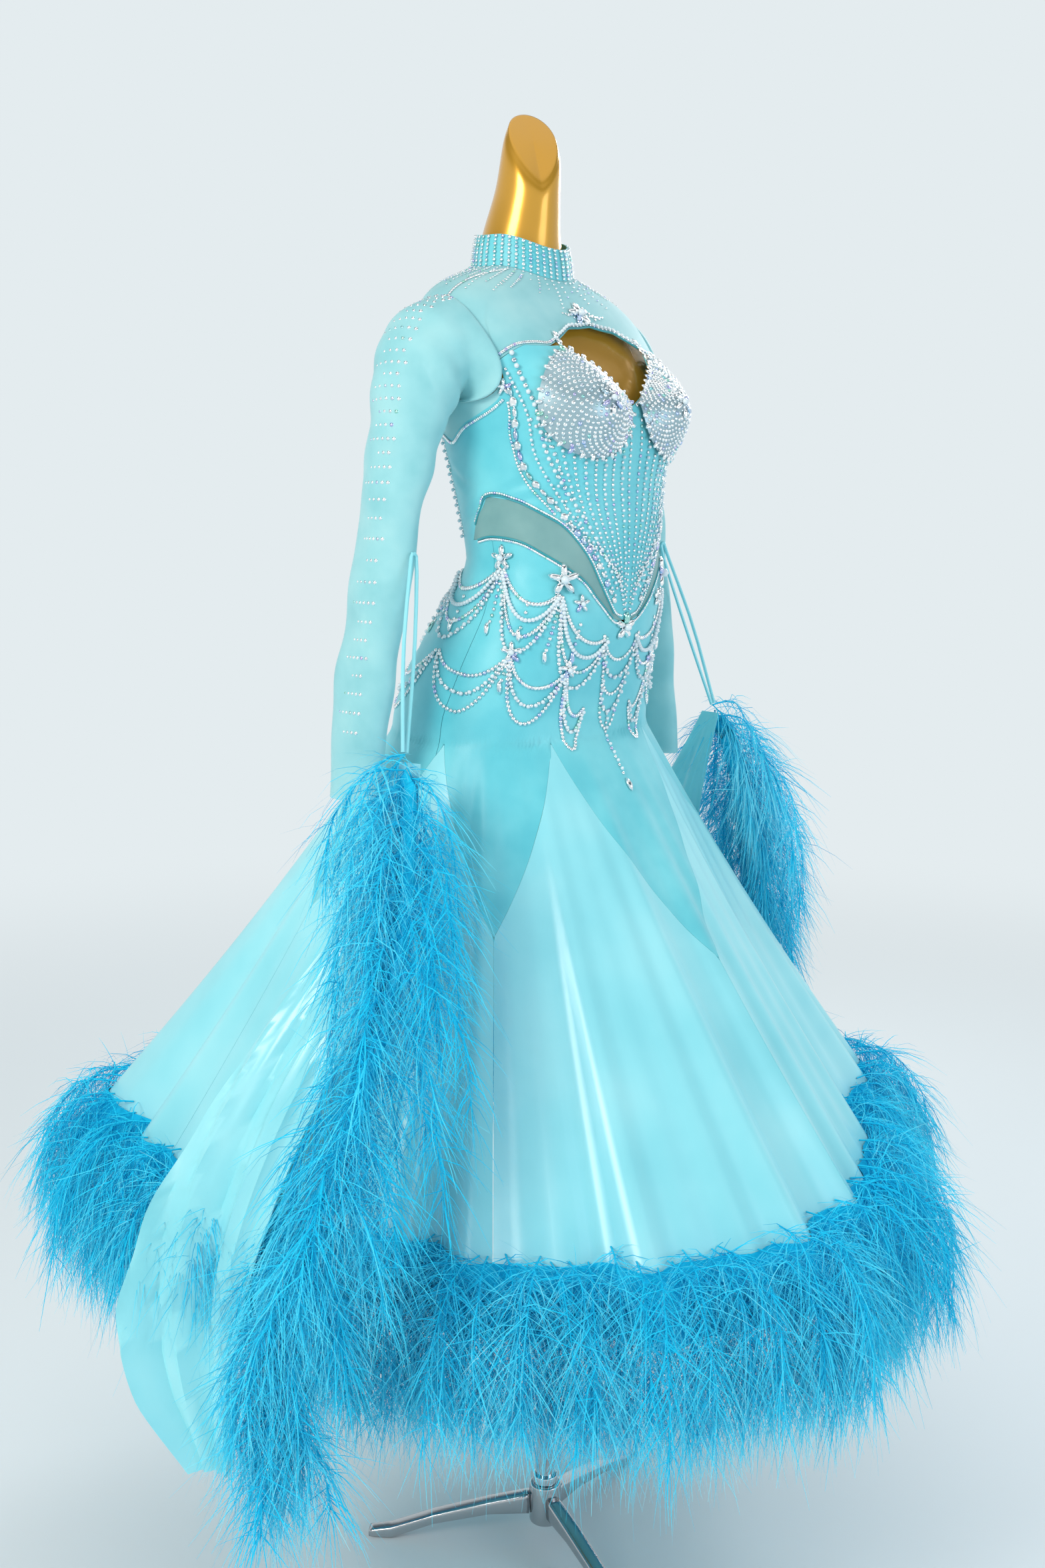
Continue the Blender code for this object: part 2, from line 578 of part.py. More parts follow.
def make_hem_trim(number, low, high, feather):
    """A narrow backing strip outside a godet's hem, with hanging feather locks."""
    columns = TRIM_FACES * GODET_COLUMNS
    bm = bmesh.new()
    grid = []
    seat = TRIM_SEATS[number - 1]
    for a in spread(low + SEAM_TURN, high - SEAM_TURN, columns):
        column = []
        for height in (TRIM_TOP, TRIM_BOTTOM):
            p, n = hem_wall(low, high, a, height)
            column += [bm.verts.new(p + n * seat), bm.verts.new(p + n * (seat + TRIM_THICK))]
        grid.append(column)
    for near, far in zip(grid, grid[1:]):
        bm.faces.new((near[1], far[1], far[3], near[3]))
        bm.faces.new((near[0], near[2], far[2], far[0]))
        bm.faces.new((near[0], far[0], far[1], near[1]))
        bm.faces.new((near[2], near[3], far[3], far[2]))
    for end in (grid[0], grid[-1]):
        bm.faces.new((end[0], end[1], end[3], end[2]))
    bm.faces.ensure_lookup_table()
    outer_faces = [bm.faces[4 * k] for k in range(1, columns, TRIM_FACES)]
    down = Vector((0, 0, -1))
    for k, face in enumerate(outer_faces):
        a = low + (high - low) * (k + 0.5) / GODET_COLUMNS
        if number == 5 and -110 < wrapped(a) < -78:
            continue
        if number == 2 and 86 < wrapped(a) < 116:
            continue
        out = Vector((math.sin(math.radians(a)), -math.cos(math.radians(a)), 0))
        across = Vector((-out.y, out.x, 0))
        swing = 1 + 0.12 * math.sin(2.4 * k + number)
        if k % 2:
            grow_lock(bm, face, across, out, down, 0.150 * swing, LOCK_HIGH)
        else:
            grow_lock(bm, face, across, out, down, 0.135 * swing, LOCK_LOW)
    finish(f"hem_feathers_{number}", bm, feather)


def make_float(tag, side, middle, strip, satin, feather):
    """A feather float: a square backing with locks on three sides, beside a satin strip."""
    count = 2 * FLOAT_LOCK_ROWS + 2
    path = smooth_path([Vector(p) for p in middle], count)
    bm = bmesh.new()
    rings, frames = [], []
    for k, p in enumerate(path):
        along = (path[min(k + 1, count - 1)] - path[max(k - 1, 0)]).normalized()
        out = Vector((p.x, p.y, 0)).normalized()
        out = (out - along * out.dot(along)).normalized()
        across = along.cross(out)
        frames.append((out, across))
        rings.append([bm.verts.new(p + out * u * FLOAT_HALF + across * v * FLOAT_HALF)
                      for u, v in ((1, -1), (1, 1), (-1, 1), (-1, -1))])
    bm.faces.new(rings[0])
    bm.faces.new(reversed(rings[-1]))
    chosen = []
    for k, (near, far) in enumerate(zip(rings, rings[1:])):
        for j in range(4):
            i = (j + 1) % 4
            face = bm.faces.new((near[j], near[i], far[i], far[j]))
            if k % 2 and j != 2:
                chosen.append((k, j, face))
    for k, j, face in chosen:
        flat_out = Vector((path[k].x, path[k].y, 0)).normalized()
        sideways = Vector((-flat_out.y, flat_out.x, 0))
        turn = {0: 0, 1: 1, 3: -1}[j]
        aim = (flat_out * (1.0 if turn == 0 else 0.45)
               + sideways * turn * math.copysign(1, frames[k][1].dot(sideways))).normalized()
        if path[k].z > 1.02 and aim.y > 0.3:
            continue
        across = Vector((-aim.y, aim.x, 0))
        length = 0.120 * (1 + 0.12 * math.sin(1.7 * k + j))
        if path[k].z < 0.60:
            length *= 0.75
        elif path[k].z > 0.80:
            length *= 1.12
        grow_lock(bm, face, across, aim, Vector((0, 0, -1)), length, LOCK_HIGH)
    finish(f"float_feathers_{tag}", bm, feather)
    make_strip(tag, strip, satin)
    make_strap(tag, side, path[0], satin)


def make_strip(tag, strip, satin):
    middle = smooth_path([Vector(row[:3]) for row in strip], 10)
    widths = smooth_path([Vector((row[3], 0, 0)) for row in strip], 10)
    outer, normals = [], []
    for k, (p, w) in enumerate(zip(middle, widths)):
        out = Vector((p.x, p.y, 0)).normalized()
        across = Vector((-out.y, out.x, 0))
        row, row_n = [], []
        for j in range(5):
            share = j / 4 - 0.5
            ripple = 0.006 * math.sin(3 * math.pi * share + 0.35 * k) * min(1, k / 3)
            row.append(p + across * share * max(w.x, 0.012) + out * ripple)
            row_n.append(out)
        outer.append(row)
        normals.append(row_n)
    cloth_wall(f"float_satin_{tag}", outer, normals, SATIN, satin)


def make_strap(tag, side, foot, satin):
    """One narrow tube looped from the float up to the sleeve's front edge and back."""
    out, y, wide = table([row[:4] for row in SLEEVE], STRAP_TOP)
    if side > 0:
        y += LEFT_SLEEVE_SHIFT * (SLEEVE[0][0] - STRAP_TOP) / (SLEEVE[0][0] - SLEEVE[-1][0])
    top = Vector((side * out, y - wide - STRAP_RADIUS - 2 * GAP, STRAP_TOP))
    low = foot + Vector((0, 0, STRAP_RADIUS * 0.5 + (0.0012 if side < 0 else 0.0002)))
    curve = bpy.data.curves.new(f"strap_{tag}", "CURVE")
    curve.dimensions = "3D"
    curve.bevel_depth = STRAP_RADIUS
    curve.bevel_resolution = 1
    curve.use_fill_caps = True
    spline = curve.splines.new("POLY")
    middle = low.lerp(top, 0.5)
    stops = [low + Vector((side * 0.003, 0, 0.0012)), middle + Vector((side * 0.009, 0, 0)),
             top + Vector((side * 0.005, -0.001, -0.012)), top,
             top + Vector((-side * 0.005, -0.001, -0.012)),
             middle + Vector((-side * 0.009, 0, 0)), low + Vector((-side * 0.003, 0, -0.0004))]
    points = smooth_path(stops, 17)
    spline.points.add(len(points) - 1)
    for target, p in zip(spline.points, points):
        target.co = (*p, 1)
    obj = bpy.data.objects.new(f"strap_{tag}", curve)
    curve.materials.append(satin)
    bpy.context.scene.collection.objects.link(obj)


def material(name, colour, roughness, metallic=0.0):
    made = bpy.data.materials.new(name)
    made.use_nodes = True
    shader = made.node_tree.nodes["Principled BSDF"]
    shader.inputs["Base Color"].default_value = (*colour, 1)
    shader.inputs["Roughness"].default_value = roughness
    shader.inputs["Metallic"].default_value = metallic
    made.diffuse_color = (*colour, 1)
    return made


def centre_on_footprint():
    """Moves everything so that the middle of the whole outline is at x = y = 0."""
    bpy.context.view_layer.update()
    graph = bpy.context.evaluated_depsgraph_get()
    corners = []
    for obj in bpy.context.scene.objects:
        shape = obj.evaluated_get(graph)
        mesh = shape.to_mesh()
        corners += [shape.matrix_world @ v.co for v in mesh.vertices]
        shape.to_mesh_clear()
    for axis in (0, 1):
        middle = (min(c[axis] for c in corners) + max(c[axis] for c in corners)) / 2
        for obj in bpy.context.scene.objects:
            obj.location[axis] -= middle


def main():
    for obj in list(bpy.data.objects):
        bpy.data.objects.remove(obj, do_unlink=True)
    gold = material("gold_lacquer", (0.50, 0.23, 0.015), 0.25, 0.6)
    chrome = material("chromed_steel", (0.75, 0.75, 0.76), 0.12, 1.0)
    steel = material("satin_steel", (0.55, 0.55, 0.56), 0.3, 1.0)
    lycra = material("stretch_lycra", (0.09, 0.55, 0.68), 0.5)
    mesh_cloth = material("sheer_mesh", (0.26, 0.66, 0.68), 0.7)
    satin = material("satin", (0.27, 0.75, 0.82), 0.3)
    stones = material("cut_glass_stones", (0.8, 0.85, 0.9), 0.1)
    feather = material("feather", (0.01, 0.36, 0.75), 0.8)
    make_form(gold)
    make_stand(chrome, steel)
    make_collar(lycra)
    make_bodice(lycra, mesh_cloth, stones)
    make_skirt(lycra, satin)
    for number in range(6):
        middle = GODET_FIRST + GODET_STEP * number
        make_hem_trim(number + 1, middle - GODET_STEP / 2, middle + GODET_STEP / 2, feather)
    make_sleeve("r", -1, mesh_cloth)
    make_sleeve("l", 1, mesh_cloth)
    make_float("r", -1, FLOAT_R, STRIP_R, satin, feather)
    make_float("l", 1, FLOAT_L, STRIP_L, satin, feather)
    centre_on_footprint()


main()
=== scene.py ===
"""Looks of a ballroom gown worn by a limbless dress form on a tripod stand.

Metres, +Z up. The gown's front faces -Y and its wearer's right is -X. Angles around the body are in
degrees from the front, positive towards the wearer's left. A level is the height that a ring round
the body has at its front. Shapes are worked out about the stand's pole and then moved to it.
"""

import math

import bpy
import numpy as np
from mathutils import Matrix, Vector


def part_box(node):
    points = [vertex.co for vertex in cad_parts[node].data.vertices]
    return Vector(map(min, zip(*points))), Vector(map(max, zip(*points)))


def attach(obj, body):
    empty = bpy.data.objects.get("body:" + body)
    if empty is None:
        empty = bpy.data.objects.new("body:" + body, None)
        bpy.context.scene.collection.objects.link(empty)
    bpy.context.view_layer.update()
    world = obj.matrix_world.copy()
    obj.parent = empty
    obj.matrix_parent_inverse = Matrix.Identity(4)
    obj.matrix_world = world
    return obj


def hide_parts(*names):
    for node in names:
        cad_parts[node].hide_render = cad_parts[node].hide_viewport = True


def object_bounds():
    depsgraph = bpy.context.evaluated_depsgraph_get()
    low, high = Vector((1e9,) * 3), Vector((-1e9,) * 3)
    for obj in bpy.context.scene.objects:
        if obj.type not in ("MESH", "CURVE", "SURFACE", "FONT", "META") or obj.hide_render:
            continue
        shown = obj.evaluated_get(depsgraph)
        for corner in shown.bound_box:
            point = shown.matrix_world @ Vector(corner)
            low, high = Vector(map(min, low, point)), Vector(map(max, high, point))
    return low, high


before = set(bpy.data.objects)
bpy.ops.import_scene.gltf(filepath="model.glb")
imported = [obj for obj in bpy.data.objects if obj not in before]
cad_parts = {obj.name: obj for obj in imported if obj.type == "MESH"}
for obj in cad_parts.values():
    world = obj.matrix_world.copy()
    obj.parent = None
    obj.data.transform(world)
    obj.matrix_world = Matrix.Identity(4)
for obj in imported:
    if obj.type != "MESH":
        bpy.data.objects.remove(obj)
CAD_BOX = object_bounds()
POLE_LOW, POLE_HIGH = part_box("form_pole")
AXIS = np.array([(POLE_LOW[0] + POLE_HIGH[0]) / 2, (POLE_LOW[1] + POLE_HIGH[1]) / 2, 0.0])
RANDOM = np.random.default_rng(7)

CLOTH = 0.0011          # wall of the stretch cloth, the mesh and the satin
ROUNDNESS = 2 / 2.25    # exponent of a slightly squared ellipse
BUST = (0.085, 1.487, 0.055, 0.026)     # side offset, height, spread, depth
SKIRT_TOP = 1.10
ARMHOLE = (90.0, 30.0, 1.525, 0.040)    # mid angle, half width, mid level, half height
GODET_FIRST, GODET_STEP = 31.0, 60.0
COLLAR_HEIGHT = 0.036
COLLAR_LEVEL, COLLAR_CENTRE = 1.632, 0.036  # where the collar starts, its middle's y
GAP = 0.0003            # left between neighbours that must not touch
STONE_LIFT = 0.0004     # how far the lines of stones lie off the cloth
BARBS, FLOAT_PLUMES = 108, 92           # barbs of a plume, plumes of a float
FORM_BUST = 0.45
CUP_LIFT = 0.0024
POLE_RADIUS, HUB_RADIUS = 0.0125, 0.021
HUB_BOTTOM, HUB_TOP = 0.032, 0.087
LEG_REACH = 0.225
LEG_ANGLES = (-145.0, 97.0, -23.0)
FORM_BOTTOM = 0.968
STRAY = 0.040           # how far the barbs' ends may reach past the solids' box

# level, side height, back height, centre y, half width, front depth, back depth
BODY = np.array((
    (0.980, 0.980, 0.980, 0.020, 0.178, 0.108, 0.172),
    (1.060, 1.060, 1.060, 0.020, 0.176, 0.108, 0.170),
    (1.130, 1.130, 1.130, 0.015, 0.170, 0.108, 0.165),
    (1.190, 1.190, 1.190, -0.005, 0.158, 0.104, 0.160),
    (1.250, 1.250, 1.250, -0.026, 0.142, 0.096, 0.138),
    (1.305, 1.305, 1.305, -0.031, 0.129, 0.096, 0.100),
    (1.350, 1.350, 1.350, -0.026, 0.131, 0.103, 0.103),
    (1.400, 1.400, 1.400, -0.018, 0.136, 0.111, 0.106),
    (1.440, 1.440, 1.440, -0.012, 0.142, 0.119, 0.108),
    (1.480, 1.480, 1.480, -0.005, 0.154, 0.122, 0.105),
    (1.515, 1.530, 1.530, 0.005, 0.172, 0.112, 0.100),
    (1.545, 1.575, 1.565, 0.018, 0.176, 0.104, 0.095),
    (1.567, 1.606, 1.595, 0.025, 0.160, 0.096, 0.092),
    (1.590, 1.627, 1.622, 0.030, 0.125, 0.086, 0.088),
    (1.612, 1.640, 1.640, 0.034, 0.085, 0.074, 0.075),
    (1.632, 1.648, 1.655, 0.036, 0.058, 0.058, 0.055),
))
# level, how far the form's skin lies under the cloth's outer side
FORM_INSETS = np.array(((0.98, 0.009), (1.25, 0.009), (1.305, 0.0032), (1.35, 0.0040), (1.48, 0.005),
                        (1.515, 0.007), (1.567, 0.008), (1.590, 0.007), (1.632, 0.006)))
# lowest height, highest height, centre y, radius of the form's neck
NECK = ((1.664, 1.700, 0.035, 0.0465), (1.700, 1.752, 0.026, 0.0385),
        (1.728, 1.808, 0.020, 0.0340), (1.742, 1.828, 0.018, 0.0290))
CAP_TURN, CAP_ROUND = -32.0, 0.7        # the angle that the slanted cap faces, how round its top is
# angle, radius, height of the satin hem's lobes and valleys
HEM = np.array((
    (-180, 0.56, 0.60), (-163, 0.53, 0.60), (-143, 0.57, 0.61), (-122, 0.50, 0.60),
    (-100, 0.48, 0.585), (-76, 0.41, 0.57), (-48, 0.46, 0.575), (-22, 0.47, 0.57),
    (6, 0.44, 0.57), (36, 0.39, 0.59), (60, 0.48, 0.59), (88, 0.41, 0.585),
    (112, 0.49, 0.60), (136, 0.43, 0.59), (158, 0.53, 0.60), (180, 0.56, 0.60),
))
# angle, level of each panel edge, the same on both sides of the body
YOKE_EDGE = np.array(((0, 1.577), (14, 1.570), (26, 1.549), (31, 1.5422), (44, 1.5372), (60, 1.5205)))
BACK_YOKE_EDGE = np.array(((120, 1.525), (180, 1.500)))
BODICE_TOP = np.array(((0, 1.486), (14, 1.512), (26, 1.545), (31, 1.542), (44, 1.537), (60, 1.520),
                       (65, 1.497), (73, 1.486), (81, 1.478), (108, 1.448), (130, 1.463)))
BODICE_BOTTOM = np.array(((0, 1.238), (8, 1.249), (37, 1.338), (51, 1.358), (73, 1.378), (90, 1.383),
                          (103, 1.350), (108, 1.333), (130, 1.333)))
HIP_TOP = np.array(((0, 1.236), (8, 1.243), (31, 1.289), (51, 1.313), (73, 1.333), (90, 1.338),
                    (103, 1.334), (108, 1.333), (130, 1.333), (180, 1.290)))
# height, distance out, y, half width front to back, half thickness, tilt of the section from level
SLEEVE = (
    (1.535, 0.182, 0.028, 0.056, 0.054, 62),
    (1.500, 0.198, 0.032, 0.053, 0.044, 38),
    (1.450, 0.210, 0.038, 0.047, 0.032, 18),
    (1.375, 0.222, 0.047, 0.041, 0.023, 7),
    (1.260, 0.236, 0.058, 0.041, 0.020, 3),
    (1.155, 0.250, 0.069, 0.040, 0.018, 2),
    (1.040, 0.258, 0.076, 0.036, 0.017, 0),
)
LEFT_SLEEVE_SHIFT = -0.062
# x, y, z down the middle of each feather float, and of its satin strip with the strip's width
FLOATS = {
    "r": ((-0.288, -0.030, 1.105), (-0.335, -0.075, 1.03), (-0.392, -0.116, 0.94),
          (-0.461, -0.141, 0.82), (-0.538, -0.140, 0.70), (-0.585, -0.125, 0.573),
          (-0.590, -0.150, 0.46)),
    "l": ((0.288, -0.060, 1.105), (0.320, -0.075, 1.03), (0.355, -0.070, 0.94),
          (0.420, -0.040, 0.82), (0.500, 0.000, 0.70), (0.560, 0.040, 0.573),
          (0.575, 0.060, 0.46)),
}
STRIPS = {
    "r": ((-0.2840, -0.0323, 1.096, 0.030), (-0.330, -0.025, 0.93, 0.080),
          (-0.425, 0.000, 0.79, 0.090), (-0.482, 0.025, 0.66, 0.090),
          (-0.515, 0.035, 0.54, 0.070), (-0.525, 0.030, 0.44, 0.050), (-0.530, 0.025, 0.345, 0.018)),
    "l": ((0.2846, -0.0592, 1.096, 0.030), (0.300, 0.010, 0.93, 0.080),
          (0.385, 0.050, 0.79, 0.090), (0.452, 0.105, 0.66, 0.090),
          (0.500, 0.130, 0.54, 0.070), (0.515, 0.125, 0.44, 0.050), (0.525, 0.120, 0.345, 0.018)),
}
# angles where a float's satin hangs over the hem's plumes
PRESSED_BY_SATIN = (-99.0, 110.0)
# out and down along a hanging plume's quill, as shares of its length
QUILL_HIGH = ((0.0, 0.0), (0.34, 0.02), (0.64, 0.42), (0.72, 0.96))
QUILL_LOW = ((0.0, 0.0), (0.20, 0.22), (0.34, 0.62), (0.38, 1.0))
# angle and level of both ends of a soft crease of the stretch cloth, its width and its depth
CREASES = (
    (-118, 1.352, -62, 1.402, 0.006, 0.0016), (-96, 1.372, -44, 1.388, 0.005, 0.0012),
    (-74, 1.440, -48, 1.404, 0.007, 0.0014), (62, 1.400, 112, 1.356, 0.006, 0.0015),
    (48, 1.392, 84, 1.380, 0.005, 0.0012), (58, 1.446, 84, 1.420, 0.006, 0.0013),
    (-128, 1.420, -100, 1.392, 0.006, 0.0014), (102, 1.398, 127, 1.424, 0.007, 0.0015),
    (-70, 1.300, -20, 1.262, 0.007, 0.0014), (-88, 1.286, -40, 1.232, 0.008, 0.0016),
    (24, 1.268, 72, 1.296, 0.007, 0.0013), (36, 1.226, 86, 1.280, 0.008, 0.0016),
    (-160, 1.262, -112, 1.286, 0.008, 0.0015), (118, 1.280, 166, 1.256, 0.007, 0.0014),
    (-150, 1.222, -126, 1.168, 0.009, 0.0016), (132, 1.214, 152, 1.160, 0.009, 0.0015),
)


def smoothed(keys, values, levels, spread):
    """A table's column on a dense row of levels, with its corners rounded off."""
    dense = np.interp(levels, keys, values)
    step = levels[1] - levels[0]
    reach = int(3 * spread / step)
    weights = np.exp(-0.5 * (np.arange(-reach, reach + 1) * step / spread) ** 2)
    padded = np.pad(dense, reach, mode="reflect", reflect_type="odd")
    return np.convolve(padded, weights / weights.sum(), "valid")


LEVELS = np.arange(0.970, 1.6325, 0.001)
PROFILE = [smoothed(BODY[:, 0], BODY[:, k], LEVELS, 0.008) for k in range(1, 7)]


def power(value, exponent=ROUNDNESS):
    return np.sign(value) * np.abs(value) ** exponent


def body(angle, level, out=0.0, bust_share=1.0):
    """Points of the worn cloth's outer side on the torso."""
    s, c = np.sin(np.radians(angle)), np.cos(np.radians(angle))
    side_z, back_z, centre, half, front, back = [np.interp(level, LEVELS, column) for column in PROFILE]
    x = (half + out) * power(s)
    y = centre - (np.where(c > 0, front, back) + out) * power(c)
    z = side_z + (np.where(c > 0, level, back_z) - side_z) * c * c
    bust_x, bust_z, spread, depth = BUST
    fade = np.clip(c / 0.25, 0, 1)
    fade = fade * fade * (3 - 2 * fade)
    for side in (-1, 1):
        reach = ((x - side * bust_x) ** 2 + (z - bust_z) ** 2) / spread ** 2
        y = y - fade * bust_share * depth * np.exp(-reach)
    return np.stack((x, y, z), -1)


def wrapped(angle):
    return (angle + 180) % 360 - 180


def hem(angle):
    """Radius and height of the satin's hem, each table row rounded into a crest or a trough."""
    a = wrapped(np.asarray(angle, float))
    i = np.clip(np.searchsorted(HEM[:, 0], a) - 1, 0, len(HEM) - 2)
    low, high = HEM[i], HEM[i + 1]
    share = 0.5 - 0.5 * np.cos(np.pi * (a - low[..., 0]) / (high[..., 0] - low[..., 0]))
    return low[..., 1:] + (high[..., 1:] - low[..., 1:]) * share[..., None]


def folds(angle):
    """Uneven small folds of the satin between its large lobes, from about -1 to 1."""
    a = np.radians(angle)
    return (0.45 * np.sin(17 * a + 0.7 + 0.8 * np.sin(3 * a)) + 0.35 * np.sin(29 * a + 1.9)
            + 0.25 * np.sin(43 * a + 0.4 + 1.3 * np.sin(2 * a)))


def gown(angle, level):
    """Points of the gown's outer side: on the torso, or on the flared skirt under the hips."""
    angle, level = np.broadcast_arrays(np.asarray(angle, float), np.asarray(level, float))
    torso = body(angle, np.maximum(level, SKIRT_TOP))
    edge = hem(angle)
    a = np.radians(angle)
    radial = np.stack((np.sin(a), -np.cos(a), np.zeros_like(a)), -1)
    end = radial * edge[..., :1]
    end[..., 2] = edge[..., 1]
    share = np.clip((SKIRT_TOP - level) / (SKIRT_TOP - edge[..., 1]), 0, None)
    flare = share - 0.03 * np.sin(np.pi * np.clip(share, 0, 1))
    skirt = torso + (end - torso) * flare[..., None]
    skirt[..., 2] = torso[..., 2] + (end[..., 2] - torso[..., 2]) * share
    skirt = skirt + radial * (0.021 * folds(angle) * np.clip(share, 0, 1.1) ** 1.25)[..., None]
    return np.where((share > 0)[..., None], skirt, torso)


def crossed(across, down):
    """Unit outward normals from two directions in a surface."""
    normal = np.cross(down, across)
    return normal / np.linalg.norm(normal, axis=-1, keepdims=True)


def crease_depth(angle, level):
    """How far the stretch cloth sinks in its soft creases."""
    total = np.zeros(np.broadcast(angle, level).shape)
    for a0, l0, a1, l1, width, depth in CREASES:
        ax, ay = (a1 - a0) * 0.0024, l1 - l0
        px, py = (wrapped(angle) - a0) * 0.0024, level - l0
        along = np.clip((px * ax + py * ay) / (ax * ax + ay * ay), 0, 1)
        off = np.hypot(px - along * ax, py - along * ay)
        taper = np.sin(np.pi * np.clip(along, 0.04, 0.96)) ** 0.7
        total += depth * taper * (np.exp(-(off / width) ** 2)
                                  - 0.6 * np.exp(-((off - 1.9 * width) / width) ** 2))
    return total


def surface(angle, level, lift=0.0):
    """Points and outward normals of the gown, moved off it by a lift."""
    across = gown(angle + 0.5, level) - gown(angle - 0.5, level)
    down = gown(angle, level - 0.004) - gown(angle, level + 0.004)
    normal = crossed(across, down)
    drop = lift - crease_depth(angle, level)
    return gown(angle, level) + normal * np.asarray(drop)[..., None], normal


def spot(angle, level, lift):
    """One point of the gown and its outward normal, each in an array of one row."""
    return surface(np.array([float(angle)]), np.array([float(level)]), lift)


def edge(rows, angle):
    return np.interp(np.abs(wrapped(angle)), rows[:, 0], rows[:, 1])


def along_edge(side, rows, angles, shift=0.0):
    """Angles and levels of a line that follows a panel's edge on one side of the body."""
    return [(side * a, edge(rows, np.array(a)) + shift) for a in angles]


def mirrored(side, keys):
    """Angles and levels of a line on one side of the body."""
    return [(side * a, level) for a, level in keys]


def swag(side, start, end, drop):
    """Angles and levels of a line that hangs between two knots, lower by a drop at its middle."""
    (a0, l0), (a1, l1) = start, end
    return [(side * (a0 + (a1 - a0) * t), l0 + (l1 - l0) * t - drop * (1 - (2 * t - 1) ** 2) ** 0.8)
            for t in (0.03, 0.2, 0.4, 0.6, 0.8, 0.97)]


def armhole(angle, side):
    mid, half_width, level, half_height = ARMHOLE
    share = np.clip(np.abs(np.abs(wrapped(angle)) - mid) / half_width, 0, 1)
    return level + side * half_height * np.sqrt(1 - share * share)


def yoke_bottom(angle):
    turned = np.abs(wrapped(angle))
    mid, half_width = ARMHOLE[:2]
    lower = np.where(turned <= mid - half_width, edge(YOKE_EDGE, angle), armhole(angle, 1))
    return np.where(turned >= mid + half_width, edge(BACK_YOKE_EDGE, angle), lower)


def zigzag(angle):
    """Lower edge of the hip panels: peaks over the godets and points between them."""
    turn = (wrapped(angle) - GODET_FIRST) / GODET_STEP
    share = np.abs(turn - np.round(turn)) * 2
    low = np.where(np.abs(wrapped(angle)) < GODET_FIRST, 0.850, 0.900)
    return 1.100 + (low - 1.100) * share


def between(a, b, c, d, t):
    """Points of a smooth curve between b and c, at a share t of the way."""
    return 0.5 * (2 * b + (c - a) * t + (2 * a - 5 * b + 4 * c - d) * t ** 2
                  + (3 * b - a - 3 * c + d) * t ** 3)


def curve_through(points, count):
    """Evenly parted points of a smooth curve through a few."""
    points = np.asarray(points, float)
    ends = np.concatenate(([2 * points[0] - points[1]], points, [2 * points[-1] - points[-2]]))
    at = np.linspace(0, len(points) - 1, count)
    i = np.minimum(at.astype(int), len(points) - 2)
    t = (at - i).reshape((-1,) + (1,) * (points.ndim - 1))
    return between(ends[i], ends[i + 1], ends[i + 2], ends[i + 3], t)


def srgb(code):
    """Linear colour of an sRGB hex code."""
    parts = [int(code[k:k + 2], 16) / 255 for k in (1, 3, 5)]
    return (*[p / 12.92 if p <= 0.04045 else ((p + 0.055) / 1.055) ** 2.4 for p in parts], 1.0)


def add_node(tree, kind, sockets=None, **settings):
    node = tree.nodes.new(kind)
    for key, value in settings.items():
        setattr(node, key, value)
    for key, value in (sockets or {}).items():
        node.inputs[key].default_value = value
    return node


def ramp(tree, source, stops):
    node = add_node(tree, "ShaderNodeValToRGB")
    while len(node.color_ramp.elements) < len(stops):
        node.color_ramp.elements.new(0.5)
    for element, (position, colour) in zip(node.color_ramp.elements, stops):
        element.position = position
        element.color = srgb(colour)
    tree.links.new(source, node.inputs["Fac"])
    return node.outputs["Color"]


def material(name, colour, **sockets):
    """A Principled material with uniform sockets, and its tree and shader for a pattern."""
    made = bpy.data.materials.new(name)
    made.use_nodes = True
    shader = made.node_tree.nodes["Principled BSDF"]
    shader.inputs["Base Color"].default_value = srgb(colour)
    for key, value in sockets.items():
        shader.inputs[key.replace("_", " ")].default_value = value
    made.diffuse_color = srgb(colour)
    return made, made.node_tree, shader


def patterned(name, stops, per_metre, fine_mm, depth_mm, **sockets):
    """Cloth with soft tone changes and a fine relief of its yarns, both on Object coordinates."""
    made, tree, shader = material(name, stops[len(stops) // 2][1], **sockets)
    place = add_node(tree, "ShaderNodeTexCoord").outputs["Object"]
    tone = add_node(tree, "ShaderNodeTexNoise", {"Scale": per_metre, "Detail": 3.0, "Roughness": 0.5})
    tree.links.new(place, tone.inputs["Vector"])
    tree.links.new(ramp(tree, tone.outputs["Fac"], stops), shader.inputs["Base Color"])
    yarn = add_node(tree, "ShaderNodeTexNoise", {"Scale": 1000 / fine_mm, "Detail": 1.0})
    bump = add_node(tree, "ShaderNodeBump", {"Strength": 0.5, "Distance": depth_mm / 1000})
    tree.links.new(place, yarn.inputs["Vector"])
    tree.links.new(yarn.outputs["Fac"], bump.inputs["Height"])
    tree.links.new(bump.outputs["Normal"], shader.inputs["Normal"])
    return made


def tinted(name, attribute, stops, **sockets):
    """A finish whose colour runs along a ramp by a value stored on the mesh's points."""
    made, tree, shader = material(name, stops[len(stops) // 2][1], **sockets)
    value = add_node(tree, "ShaderNodeAttribute", attribute_name=attribute)
    tree.links.new(ramp(tree, value.outputs["Fac"], stops), shader.inputs["Base Color"])
    return made


# Nylon and elastane knit, dull satin face.
STRETCH_KNIT = patterned("aqua_stretch_knit", ((0.30, "#5AC5D3"), (0.5, "#6ACFDB"), (0.7, "#7AD8E2")),
                         14, 1.1, 0.15, Roughness=0.42, Sheen_Weight=0.25)
# Sheer stretch net over the gold form.
MESH = patterned("aqua_sheer_mesh", ((0.30, "#8FD6DD"), (0.5, "#9FE0E6"), (0.7, "#ADE7EB")),
                 18, 1.6, 0.2, Roughness=0.6, Sheen_Weight=0.3, Alpha=0.80)
